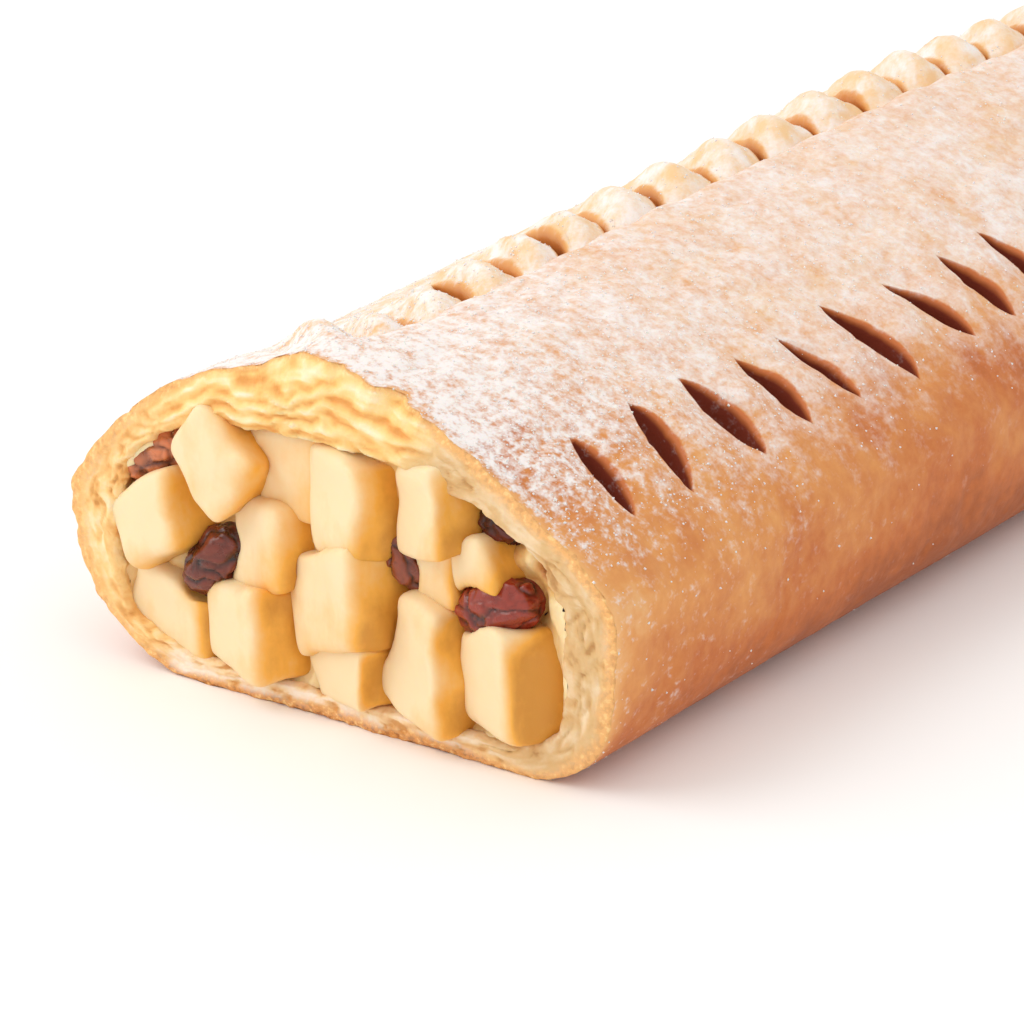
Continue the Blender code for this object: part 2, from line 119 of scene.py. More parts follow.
# Where the rows run and how they carry on: usual swing, opening in mm, pitch, and how far each strays.
RIGHT_SWING = 14.0
LEFT_SWING = -30.0
USUAL_OPENING = (2.4, 4.4)
LENGTH_SCATTER = (-0.12, 0.1)
SWING_SCATTER = 6.0
SLIT_PITCH = 17.2 * MM
SLIT_SCATTER = 1.4 * MM
LAST_SLIT_FROM_FAR_END = 40.0 * MM
RIGHT_SLIT_X = 40.3 * MM
RIGHT_SLIT_Z = 46.8 * MM
LEFT_SLIT_X = -17.5 * MM
LEFT_SLIT_Z = 60.0 * MM

# How each row is cut: shares of the usual length, lip rounding and depth, how far along the roll its
# slope reaches in pitches, what its later openings lack in mm, how full its outline is, and whether
# its lining takes the amber painted shade.
RIGHT_ROW = {
    "length": 1.0,
    "near_lip": 0.45,
    "far_lip": 1.0,
    "depth": 1.0,
    "slope_reach": 0.62,
    "opening_less": 0.0,
    "fullness": 0.7,
    "amber_shade": 0.0,
}
LEFT_ROW = {
    "length": 1.22,
    "near_lip": 1.45,
    "far_lip": 2.2,
    "depth": 1.6,
    "slope_reach": 0.92,
    "opening_less": 1.8,
    "fullness": 0.65,
    "amber_shade": 1.0,
}

# Inside a slit: the share of its opening on the near side, how far the push of its edges dies away in
# the skin, the turns of its rounded lips in degrees, and the levels and bow of its walls.
NEAR_SHARE = 0.38
PUSH_REACH = 4.5 * MM
LIP_TURNS = (30.0, 60.0, 90.0)
WALL_LEVELS = (0.22, 0.46, 0.7, 0.9)
WALL_BOW = 2.6

# The rim at the cut, in degrees round the section with the fade at each end: where the skin is torn back,
# where the torn layers lie, and where the thick crust of the sole lies. Then the pitch of the layers, the
# number of rings across the rim, and the rings of the room's wall in mm behind the cut.
TORN_EDGE = (52.0, 14.0, 128.0, 16.0)
LAYERED_TOP = (44.0, 16.0, 160.0, 20.0)
CRUSTY_BOTTOM = (-152.0, 12.0, -32.0, 12.0)
LAYER_PITCH = 3.4 * MM
RIM_RINGS = 26
ROOM_WALL_RINGS = (0.5, 1.2, 2.2, 3.6, 5.2, 7.5, 10.5, 14.0)

# The apple pieces: how far they swell across, along and up, how far they sway out of shape, how many
# rounds soften their colour, and how much more painted shade some of them take on their right sides.
APPLE_SWELLING = (1.2 * MM, 0.7 * MM, 1.2 * MM)
APPLE_SWAY = 1.3 * MM
APPLE_COLOUR_BLUR = 14
APPLE_SIDE_SHADE = {"apple_13": 0.3, "apple_09": 0.2, "apple_02": 0.2}

# Gaps between pieces of fruit, sunk back and painted dark as shade: x, z and radius in mm.
DARK_GAPS = (
    (-17.6, 48.2, 1.8),
    (-24.7, 50.9, 2.6),
    (17.1, 25.2, 2.0),
    (-45.0, 22.0, 3.0),
    (-38.8, 22.4, 1.6),
    (33.2, 43.0, 4.2),
    (42.0, 35.6, 2.6),
    (-17.7, 36.5, 1.4),
)
DARK_GAP_DEPTH = 6.5 * MM

# Swellings of the dough between the slits, the furrow along the left row, the left shoulder that lies
# low near the cut and high further on, and the slow wave of the whole roll.
RIGHT_PUFF = 1.3 * MM
LEFT_PUFF = 4.6 * MM
PUFF_SPREAD = 10.0 * MM
FURROW_DEPTH = 4.4 * MM
FURROW_X = -7.0 * MM
FURROW_BANK = 3.4 * MM
FURROW_SPREAD = 5.0 * MM
FURROW_START = 9.0 * MM
FURROW_FULL = 30.0 * MM
LEFT_SHOULDER_LOW = 4.4 * MM
LEFT_SHOULDER_HIGH = 1.4 * MM
LEFT_SHOULDER_SPREAD = 18.0 * MM
LEFT_SHOULDER_LOW_PLACE = 45.0 * MM
LEFT_SHOULDER_HIGH_PLACE = 140.0 * MM
ROLL_WAVE = 0.4 * MM
ROLL_WAVE_LENGTH = 119.0 * MM

# The stage: half the floor's width, the key light, the light of the white room, and the camera.
FLOOR_REACH = 6.0
KEY_PLACE = (-0.85, -0.75, 1.05)
KEY_TARGET = (0.0, -0.05, 0.0)
KEY_SIZE = 1.1
KEY_LIGHT = (1.0, 0.97, 0.92)
ROOM_LIGHT = (1.0, 0.992, 0.982)
CAMERA_PLACE = (0.44130, CUT_Y - 0.56938, 0.31458)
CAMERA_AIM = (-0.54074, 0.76066, -0.35916)

# Mesh steps: the points of the section's outlines, the skin's columns, its rows from the cut (the first
# ones in mm) to the rounded end, its columns under the sole, the rim, the front of the filling and the
# points of its rings, and for apple pieces and raisins the step and the rounds of smoothing.
OUTLINE_POINTS = 1800
SKIN_COLUMN = 1.05 * MM
SKIN_ROW = 0.85 * MM
EDGE_ROWS = (0.0, 0.35, 0.8, 1.35)
FINE_ROWS_START = 2.0 * MM
FINE_ROWS_END = 166.0 * MM
MIDDLE_ROWS = 48
ROUND_END_ROWS = 24
SOLE_COLUMN = 4.0 * MM
RIM_STEP = 0.55 * MM
FILLING_STEP = 0.75 * MM
FILLING_RING_POINTS = 60
APPLE_STEP = 0.5 * MM
APPLE_SMOOTHING = 12
RAISIN_STEP = 0.34 * MM
RAISIN_SMOOTHING = 3

# Icing sugar: the share of the roll's height where it begins and where it fades in, how far the heavy
# dusting near the cut reaches, the bare patch on the right shoulder, and how clumps thin out and stay
# off the sole.
DUSTED_FROM = 0.50
DUSTED_BLEND = 0.34
NEAR_CUT = 46.0 * MM
BARE_FROM_CUT = 12.0 * MM
BARE_LENGTH = 24.0 * MM
BARE_X = 38.0 * MM
BARE_WIDTH = 15.0 * MM
CLUMPS_NEAR_CUT = 60.0 * MM
CLUMPS_ABOVE = 3.0 * MM

APPLES = [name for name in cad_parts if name.startswith("apple_")]
RAISINS = [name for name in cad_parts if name.startswith("raisin_")]


def srgb(red, green, blue):
    """A linear colour from display values of 0 to 255."""
    shares = [value / 255.0 for value in (red, green, blue)]
    return tuple(s / 12.92 if s <= 0.04045 else ((s + 0.055) / 1.055) ** 2.4 for s in shares)


# ---------------------------------------------------------------------------------------------
# Settings
# ---------------------------------------------------------------------------------------------


def length(name, description, size):
    """A length in metres for the panel."""
    return FloatProperty(name=name, description=description, default=size, min=0.0, unit="LENGTH")


def colour(name, description, red, green, blue):
    """A colour for the panel, given as sRGB from 0 to 255."""
    default = srgb(red, green, blue)
    return FloatVectorProperty(name=name, description=description, subtype="COLOR", default=default)


class StrudelShape(bpy.types.PropertyGroup):
    """Sizes of the strudel's surface features."""

    slit_length: length("Slit Length", "Length of each slit", 0.019)
    slit_depth: length("Slit Depth", "How deep a slit shows", 0.0046)
    lip_rounding: length("Lip Rounding", "Rounding of a slit's far lip", 0.0011)
    skin_lumps: length("Skin Lumps", "Height of the lumps baked into the skin", 0.0004)
    edge_raggedness: length("Edge Raggedness", "How unevenly the skin ends at the cut", 0.0007)
    sauce_recess: length("Filling Recess", "Depth of the soft filling behind the cut", 0.0042)
    apple_unevenness: length("Apple Unevenness", "Height of the waves on apple flesh", 0.0003)
    raisin_wrinkles: length("Raisin Wrinkles", "Depth of the wrinkles on raisins", 0.0008)
    grain_size: length("Grain Size", "Largest clump of icing sugar", 0.00034)
    grain_count: IntProperty(
        name="Sugar Grains", description="Loose clumps of icing sugar", default=7000, min=1
    )


class StrudelColours(bpy.types.PropertyGroup):
    """Colours of the strudel's finishes."""

    sugar: colour("Icing Sugar", "Dusted sugar", 245, 240, 237)
    pale_dough: colour("Pale Dough", "Lightly baked skin", 240, 200, 148)
    golden_dough: colour("Golden Dough", "Skin of the flanks", 225, 155, 87)
    brown_dough: colour("Brown Dough", "Well baked skin", 197, 110, 52)
    slit_inside: colour("Slit Inside", "Stained dough inside the slits", 136, 60, 42)
    slit_rim: colour("Slit Rim", "Orange rim of the slits", 204, 116, 62)
    crumb: colour("Crumb", "Soft crumb at the cut", 224, 187, 136)
    flaky_layers: colour("Flaky Layers", "Torn layers at the top of the cut", 255, 220, 156)
    crust_edge: colour("Crust Edge", "Thin baked edge round the cut", 242, 182, 114)
    apple_cream: colour("Apple Cream", "Pale apple flesh", 245, 220, 176)
    # The apple gold also paints the shade on the apple's right sides and in its seams.
    apple_gold: colour("Apple Gold", "Cooked apple flesh", 242, 176, 72)
    sauce: colour("Filling", "Cooked apple between the pieces", 246, 202, 132)


class StrudelStage(bpy.types.PropertyGroup):
    """Floor, lights and camera."""

    floor: FloatVectorProperty(
        name="Floor", description="Floor colour", subtype="COLOR", default=(0.99, 0.982, 0.978)
    )
    key_power: FloatProperty(
        name="Key Light", description="Power of the large soft light", default=7.4, min=0.0, unit="POWER"
    )
    fill: FloatProperty(
        name="Fill", description="Brightness of the white surroundings", default=0.95, min=0.0
    )
    lens: FloatProperty(name="Lens", description="Focal length", default=165.23, min=1.0, unit="CAMERA")


# ---------------------------------------------------------------------------------------------
# Curves and noise
# ---------------------------------------------------------------------------------------------


def smooth_step(value):
    """0 below 0, 1 above 1, and a smooth rise between."""
    held = np.clip(value, 0.0, 1.0)
    return held * held * (3.0 - 2.0 * held)


def bell(value, spread):
    """A bump of height 1 at zero that dies away over the given spread."""
    return np.exp(-((value / spread) ** 2))


def sector_share(degrees, sector):
    """1 inside a sector of the section and 0 outside, with a smooth change at each end."""
    first, first_fade, last, last_fade = sector
    return smooth_step((degrees - first) / first_fade) * smooth_step((last - degrees) / last_fade)


def field(points, size, seed):
    """Smooth seeded noise of -1 to 1, with bumps of the given size."""
    grid = np.asarray(points) / size + seed * 17.317
    cell = np.floor(grid)
    part = grid - cell
    fade = part**3 * (part * (part * 6.0 - 15.0) + 10.0)
    total = np.zeros(len(grid))
    for corner in itertools.product((0, 1), repeat=3):
        lattice = (cell + corner).astype(np.int64)
        code = lattice[:, 0] * 374761393 + lattice[:, 1] * 668265263 + lattice[:, 2] * 1274126177
        code = (code ^ (code >> 13)) * 1103515245 + seed * 12345
        code = (code ^ (code >> 16)) & 0xFFFF
        weight = np.prod(np.where(corner, fade, 1.0 - fade), axis=1)
        total += weight * (code / 32767.5 - 1.0)
    return total


def layered(points, size, seed, octaves=3):
    """Several sizes of noise on top of each other."""
    total = np.zeros(len(points))
    for octave in range(octaves):
        total += field(points, size / 2.1**octave, seed + octave) * 0.55**octave
    return total / 1.5


class Outline:
    """A closed line in the XZ plane that is read by the distance along it."""

    def __init__(self, points):
        closed = np.vstack([points, points[:1]])
        steps = np.linalg.norm(np.diff(closed, axis=0), axis=1)
        self.along = np.concatenate([[0.0], np.cumsum(steps)])
        self.length = self.along[-1]
        self.points = closed
        ahead = np.roll(points, -3, axis=0) - np.roll(points, 3, axis=0)
        normals = np.stack([ahead[:, 1], -ahead[:, 0]], axis=1)
        normals /= np.linalg.norm(normals, axis=1)[:, None]
        self.normals = np.vstack([normals, normals[:1]])

    def at(self, distance):
        """Points at the given distances."""
        wrapped = np.mod(distance, self.length)
        return np.stack([np.interp(wrapped, self.along, self.points[:, k]) for k in (0, 1)], axis=-1)

    def normal_at(self, distance):
        """Outward unit normals at the given distances."""
        wrapped = np.mod(distance, self.length)
        return np.stack([np.interp(wrapped, self.along, self.normals[:, k]) for k in (0, 1)], axis=-1)

    def nearest(self, x, z):
        """The distance along the line of the point nearest to x, z."""
        gaps = np.hypot(self.points[:, 0] - x, self.points[:, 1] - z)
        return self.along[int(np.argmin(gaps))]

    def at_angle(self, angle, middle):
        """Points of the line seen from the middle under the given angles."""
        own = np.unwrap(np.arctan2(self.points[:, 1] - middle[1], self.points[:, 0] - middle[0]))
        turns = np.mod(angle - own[0], 2.0 * math.pi) + own[0]
        return self.at(np.interp(turns, own, self.along))


def quarter_curves(half_width, crown_x, belly_z, top_z, bottom_z, powers, count=3600):
    """A closed outline in the XZ plane, anticlockwise seen from the cut, starting at the right flank."""
    turn = np.linspace(0.0, 2.0 * math.pi, count, endpoint=False)
    across = np.cos(turn)
    rise = np.sin(turn)
    right = across >= 0.0
    power = np.where(
        rise >= 0.0, np.where(right, powers[0], powers[1]), np.where(right, powers[2], powers[3])
    )
    half = np.where(right, half_width - crown_x, half_width + crown_x)
    reach = np.where(rise >= 0.0, top_z - belly_z, belly_z - bottom_z)
    x = crown_x + half * np.sign(across) * np.abs(across) ** (2.0 / power)
    z = belly_z + reach * np.sign(rise) * np.abs(rise) ** (2.0 / power)
    return np.stack([x, z], axis=1)


def even(points, count):
    """The same closed line with evenly spaced points."""
    line = Outline(points)
    return line.at(np.linspace(0.0, line.length, count, endpoint=False))


def roll_outline():
    """The roll's outline with its sole pressed flat."""
    line = quarter_curves(
        ROLL_WIDTH / 2, CROWN_X, BELLY_Z, ROLL_HEIGHT, -SOLE_FLATTENING, ROLL_SQUARENESS
    )
    line[:, 1] = np.maximum(line[:, 1], 0.0)
    return Outline(even(line, OUTLINE_POINTS))


def room_outline():
    """The outline of the room for the filling."""
    line = quarter_curves(
        ROOM_WIDTH / 2, ROOM_CROWN_X, ROOM_BELLY_Z, ROOM_TOP_Z, ROOM_FLOOR_Z, ROOM_SQUARENESS
    )
    return Outline(even(line, OUTLINE_POINTS))


ROLL = roll_outline()
ROOM = room_outline()
ROLL_MIDDLE = (-1.0 * MM, 27.0 * MM)


def slit_row(given, usual_swing, seed):
    """Places and swings of a row of slits, the given ones first and the rest at the usual pitch."""
    random = np.random.default_rng(seed)
    places = [CUT_Y + row[0] * MM for row in given]
    swings = [row[1] for row in given]
    while places[-1] + SLIT_PITCH < FAR_Y - LAST_SLIT_FROM_FAR_END:
        places.append(places[-1] + SLIT_PITCH + random.uniform(-SLIT_SCATTER, SLIT_SCATTER))
        swings.append(usual_swing + random.uniform(-SWING_SCATTER, SWING_SCATTER))
    return np.array(places), swings


RIGHT_PLACES, RIGHT_TURNS = slit_row(RIGHT_SLITS, RIGHT_SWING, 3)
LEFT_PLACES, LEFT_TURNS = slit_row(LEFT_SLITS, LEFT_SWING, 5)


# ---------------------------------------------------------------------------------------------
# The dough's skin
# ---------------------------------------------------------------------------------------------


def puff_height(y, places):
    """1 midway between neighbouring slits, 0 on a slit, and fading out past the row's ends."""
    stations = np.concatenate([[places[0] - SLIT_PITCH], places, [places[-1] + SLIT_PITCH]])
    phase = np.interp(y, stations, np.arange(len(stations)))
    inside = (y > stations[0]) & (y < stations[-1])
    return np.where(inside, np.sin(math.pi * phase) ** 2, 0.0)


def swell(line, y):
    """How far the skin stands off the plain section."""
    near_right = bell(np.hypot(line[..., 0] - RIGHT_SLIT_X, line[..., 1] - RIGHT_SLIT_Z), PUFF_SPREAD)
    left_gap = np.hypot(line[..., 0] - LEFT_SLIT_X, line[..., 1] - LEFT_SLIT_Z)
    near_left = bell(left_gap, PUFF_SPREAD)
    bank = 1.0 - smooth_step((line[..., 0] - FURROW_X) / FURROW_BANK)
    slope = bell(np.minimum(line[..., 0] - FURROW_X, 0.0), FURROW_SPREAD)
    furrow_line = bank * slope * (line[..., 1] > BELLY_Z)
    fade_in = smooth_step((y - CUT_Y - FURROW_START) / (FURROW_FULL - FURROW_START))
    fade_out = 1.0 - smooth_step((y - FAR_Y + LAST_SLIT_FROM_FAR_END) / SLIT_PITCH)
    off_sole = smooth_step(line[..., 1] / (BELLY_Z / 2))
    left_shoulder = bell(left_gap, LEFT_SHOULDER_SPREAD)
    low = LEFT_SHOULDER_LOW * bell(y - CUT_Y - LEFT_SHOULDER_LOW_PLACE, LEFT_SHOULDER_LOW_PLACE)
    high = LEFT_SHOULDER_HIGH * smooth_step((y - CUT_Y) / LEFT_SHOULDER_HIGH_PLACE - 0.5)
    wave = np.sin(2.0 * math.pi * y / ROLL_WAVE_LENGTH + 6.0 * line[..., 0] / ROLL_WIDTH)
    aside = np.clip(line[..., 0] - LEFT_SLIT_X, -12.0 * MM, 12.0 * MM)
    left_puffs = puff_height(y - aside * math.tan(math.radians(LEFT_SWING)), LEFT_PLACES)
    return (
        RIGHT_PUFF * near_right * (puff_height(y, RIGHT_PLACES) - 0.5)
        + LEFT_PUFF * near_left * (left_puffs - 0.5)
        - FURROW_DEPTH * furrow_line * fade_in * fade_out
        + (high - low) * left_shoulder * fade_in * fade_out
        + ROLL_WAVE * wave * off_sole * fade_in * fade_out
    )


def skin_points(arc, y):
    """Points of the smooth outer skin for arrays of distance round the section and place along the roll."""
    line = ROLL.at(arc)
    normal = ROLL.normal_at(arc)
    ring = line + normal * swell(line, y)[..., None]
    over = np.clip((y - (FAR_Y - END_ROUNDING)) / END_ROUNDING, 0.0, 0.9995)
    share = (1.0 - over**END_SQUARENESS) ** (1.0 / END_SQUARENESS)
    low_share = 1.0 - (1.0 - share) * END_LIFT_SHARE
    fall = np.maximum(ring[..., 1], 0.0) - END_TUCK_Z
    z = END_TUCK_Z + fall * np.where(fall > 0.0, share, low_share)
    return np.stack([ring[..., 0] * share, y, z], axis=-1)


def column_arcs():
    """Distances round the section of the skin's columns, wide apart only under the sole."""
    fine = np.linspace(0.0, ROLL.length, 3000, endpoint=False)
    height = ROLL.at(fine)[:, 1]
    spacing = np.where(height > 4.0 * MM, SKIN_COLUMN, SOLE_COLUMN)
    count = np.cumsum((ROLL.length / 3000) / spacing)
    total = int(count[-1])
    return np.interp(np.arange(total) * count[-1] / total, count, fine)


def row_places():
    """Places along the roll of the skin's rows, closest near the cut and at the rounded end."""
    front = CUT_Y + np.array(EDGE_ROWS) * MM
    near = np.arange(CUT_Y + FINE_ROWS_START, CUT_Y + FINE_ROWS_END, SKIN_ROW)
    middle = np.linspace(near[-1] + 1.5 * MM, FAR_Y - END_ROUNDING, MIDDLE_ROWS)
    turn = np.linspace(0.0, math.pi / 2, ROUND_END_ROWS)[1:-1]
    end = FAR_Y - END_ROUNDING + END_ROUNDING * np.sin(turn)
    return np.concatenate([front, near, middle, end, [FAR_Y - END_ROUNDING * 0.0006]])


def all_slits(shape):
    """Every slit of both rows, with its place, slope, outline, lips and depth."""
    random = np.random.default_rng(11)
    slits = []
    for places, turns, given, x, z, row in (
        (RIGHT_PLACES, RIGHT_TURNS, RIGHT_SLITS, RIGHT_SLIT_X, RIGHT_SLIT_Z, RIGHT_ROW),
        (LEFT_PLACES, LEFT_TURNS, LEFT_SLITS, LEFT_SLIT_X, LEFT_SLIT_Z, LEFT_ROW),
    ):
        arc = ROLL.nearest(x, z)
        for k, (y, swing) in enumerate(zip(places, turns)):
            if k < len(given):
                opening = given[k][2]
            else:
                opening = random.uniform(*USUAL_OPENING) - row["opening_less"]
            half_share = row["length"] + random.uniform(*LENGTH_SCATTER)
            slits.append(
                {
                    "arc": arc,
                    "y": y,
                    "slope": -math.tan(math.radians(swing)),
                    "opening": opening * MM,
                    "near_lip": shape.lip_rounding * row["near_lip"],
                    "far_lip": shape.lip_rounding * row["far_lip"],
                    "half_length": shape.slit_length / 2 * half_share,
                    "depth": shape.slit_depth * row["depth"],
                    "fullness": row["fullness"],
                    "slope_reach": row["slope_reach"] * SLIT_PITCH,
                    "amber_shade": row["amber_shade"],
                }
            )
    return slits


def edge_recess(arc):
    """How far the skin stops behind the cut: a little all round, more where the top layers are torn."""
    line = ROLL.at(arc)
    angle = np.degrees(np.arctan2(line[..., 1] - ROLL_MIDDLE[1], line[..., 0] - ROLL_MIDDLE[0]))
    top = sector_share(angle, TORN_EDGE)
    spots = np.stack([line[..., 0], line[..., 1], 0.0 * line[..., 0]], axis=-1)
    flat = spots.reshape(-1, 3)
    rag = layered(flat, 5.0 * MM, 21, 3).reshape(line.shape[:-1])
    fine = field(flat, 1.4 * MM, 25).reshape(line.shape[:-1])
    return top, rag, fine


def skin_front(arc, raggedness):
    """The y of the skin's edge at the cut."""
    top, rag, fine = edge_recess(arc)
    return CUT_Y + raggedness * (1.0 + rag + 0.5 * fine) + top * (2.2 + 1.6 * rag + 0.6 * fine) * MM


def skin_relief(points, lumpiness):
    """How far the baked skin stands out from its smooth form."""
    flat = points.reshape(-1, 3)
    form = points.shape[:-1]
    over = np.clip((points[..., 1] - (FAR_Y - END_ROUNDING)) / END_ROUNDING, 0.0, 1.0)
    off_sole = smooth_step((points[..., 2] - 1.0 * MM) / (9.0 * MM))
    lumps = layered(flat * (1.0, 0.75, 1.0), 9.0 * MM, 5, 3).reshape(form)
    pits = np.minimum(layered(flat, 3.2 * MM, 9, 2).reshape(form), 0.25)
    creases = 1.0 - np.abs(layered(flat * (1.0, 0.45, 1.0), 13.0 * MM, 15, 2).reshape(form)) * 5.0
    creases = np.clip(creases, 0.0, 1.0) ** 2
    pleats = np.sin(np.arctan2(points[..., 2] - END_TUCK_Z, points[..., 0]) * 9.0 + 3.0 * lumps)
    relief = lumpiness * (1.1 * lumps + 0.5 * pits - 0.9 * creases)
    relief += 1.0 * MM * smooth_step(over * 1.6 - 0.6) * pleats * (1.0 - over**6)
    return relief * off_sole


def opened_slits(slits, rows, places, across):
    """How far the skin moves along the roll to open every slit, and each slit's row, widths and outline."""
    shift = np.zeros_like(places)
    splits = []
    for slit in slits:
        row = int(np.argmin(np.abs(rows - slit["y"])))
        t = (across - slit["arc"]) / slit["half_length"]
        lens = np.clip(1.0 - t**2, 0.0, 1.0) ** slit["fullness"]
        gap = places - rows[row]
        beside = smooth_step((1.9 - np.abs(t)) / 0.9)
        reach = 1.0 - smooth_step(np.abs(gap) / slit["slope_reach"])
        shift += slit["slope"] * (across - slit["arc"]) * beside * reach
        near_half = (NEAR_SHARE * slit["opening"] + slit["near_lip"]) * lens
        far_half = ((1.0 - NEAR_SHARE) * slit["opening"] + slit["far_lip"]) * lens
        near_push = -near_half * np.exp(-np.abs(gap) / np.maximum(PUSH_REACH, 1.7 * near_half))
        far_push = far_half * np.exp(-np.abs(gap) / np.maximum(PUSH_REACH, 1.7 * far_half))
        on_near = np.arange(len(rows))[:, None] <= row
        shift += np.where(on_near, near_push, far_push)
        splits.append((row, near_half[row] + far_half[row], lens[row]))
    return shift, splits


def lip_rings(edge, into_slit, tall, lip):
    """Rings of points over a slit's lip, turning down into the slit, each with its depth value."""
    rings = []
    for turn in LIP_TURNS:
        angle = math.radians(turn)
        bend = into_slit * math.sin(angle) - tall * (1.0 - math.cos(angle))
        rings.append((edge + bend * lip, 0.05 + 0.2 * turn / 90.0))
    return rings


def wall_rings(edge, floor, tall):
    """Rings of points down a slit's bowed wall, each with its depth value."""
    rings = []
    for level in WALL_LEVELS:
        lean = 1.0 - (1.0 - level**WALL_BOW) ** (1.0 / WALL_BOW)
        spot = edge + (floor - edge) * lean
        spot += tall * ((edge - floor) * tall).sum(axis=1)[:, None] * (lean - level)
        spot += tall * field(spot, 1.3 * MM, 33)[:, None] * 0.18 * MM
        rings.append((spot, 0.3 + 0.7 * level))
    return rings


def slit_lining(slit, near, far, tall, share):
    """Every ring of a slit, from its near lip down to the floor and up over its far lip."""
    along = np.array([0.0, 1.0, 0.0])
    near_lip = slit["near_lip"] * share
    far_lip = slit["far_lip"] * share
    near_edge = near + (along - tall) * near_lip
    far_edge = far - (along + tall) * far_lip
    floor = (near_edge + far_edge) / 2 - tall * slit["depth"] * share**0.55
    floor += tall * (field(floor, 2.4 * MM, 31)[:, None] * 0.5 * MM * share)
    down = lip_rings(near, along, tall, near_lip) + wall_rings(near_edge, floor, tall)
    up = lip_rings(far, -along, tall, far_lip) + wall_rings(far_edge, floor, tall)
    return down + [(floor, 1.0)] + up[::-1] + [(far, 0.0)]


def build_skin(shape, material):
    """The whole outer skin as one sheet, with every slit opened in it and lined down to its floor."""
    arcs = column_arcs()
    rows = row_places()
    places, across = np.meshgrid(rows, arcs, indexing="ij")
    slits = all_slits(shape)
    shift, splits = opened_slits(slits, rows, places, across)
    front = skin_front(arcs, shape.edge_raggedness)
    fade = np.exp(-(places - CUT_Y) / (3.0 * MM))
    y = places + shift + (front - CUT_Y)[None, :] * fade

    points = skin_points(across, y)
    normal2 = ROLL.normal_at(across)
    normals = np.stack([normal2[..., 0], np.zeros_like(y), normal2[..., 1]], axis=-1)
    relief = skin_relief(points, shape.skin_lumps)
    points += normals * relief[..., None]
    points[..., 2] = np.maximum(points[..., 2], 0.0)

    count = len(arcs)
    vertices = [points.reshape(-1, 3)]
    slit_value = [np.zeros(points[..., 0].size)]
    amber_shade_value = [np.zeros(points[..., 0].size)]
    edge_value = np.exp(-np.maximum(y - front[None, :], 0.0) / (1.3 * MM)).ravel()
    index = np.arange(len(rows) * count).reshape(len(rows), count)
    far_rows = {}
    total = index.size
    faces = []
    walls = []
    for slit, (row, widths, lens) in zip(slits, splits):
        columns = np.nonzero(lens > 1e-4)[0]
        tall = normals[row, columns]
        far = skin_points(arcs[columns], y[row, columns] + widths[columns])
        far += tall * relief[row, columns][:, None]
        ring_index = [index[row, columns]]
        for ring, value in slit_lining(slit, points[row, columns], far, tall, lens[columns][:, None]):
            vertices.append(ring)
            # The slit value grows from the lip to the floor and darkens the lining as painted shade.
            slit_value.append(np.full(len(columns), value) * lens[columns] ** 0.35)
            amber_shade_value.append(np.full(len(columns), slit["amber_shade"]))
            ring_index.append(np.arange(total, total + len(columns)))
            total += len(columns)
        far_rows.setdefault(row, []).append((columns, ring_index[-1]))
        first_end = int(index[row, columns[0] - 1])
        last_end = int(index[row, columns[-1] + 1])
        for near_ring, far_ring in zip(ring_index[:-1], ring_index[1:]):
            for k in range(len(columns) - 1):
                walls.append((near_ring[k], far_ring[k], far_ring[k + 1], near_ring[k + 1]))
            walls.append((near_ring[0], first_end, far_ring[0]))
            walls.append((near_ring[-1], far_ring[-1], last_end))

    for row in range(len(rows) - 1):
        low = index[row].copy()
        for columns, far_ring in far_rows.get(row, ()):
            low[columns] = far_ring
        high = index[row + 1]
        faces.extend(zip(low.tolist(), high.tolist(), np.roll(high, -1).tolist(), np.roll(low, -1).tolist()))
    faces.extend(tuple(int(k) for k in wall) for wall in walls)
    tip = total
    vertices.append(points[-1].mean(axis=0)[None, :] + np.array([[0.0, 0.02 * MM, 0.0]]))
    slit_value.append(np.zeros(1))
    amber_shade_value.append(np.zeros(1))
    last = index[-1]
    for k in range(count):
        faces.append((int(last[k]), tip, int(last[(k + 1) % count])))

    spots = np.vstack(vertices)
    edge = np.concatenate([edge_value, np.zeros(len(spots) - len(edge_value))])
    values = skin_values(spots, np.concatenate(slit_value), edge)
    values["amber_shade"] = np.concatenate(amber_shade_value)
    return new_piece("dough_skin", spots, faces, material, values)


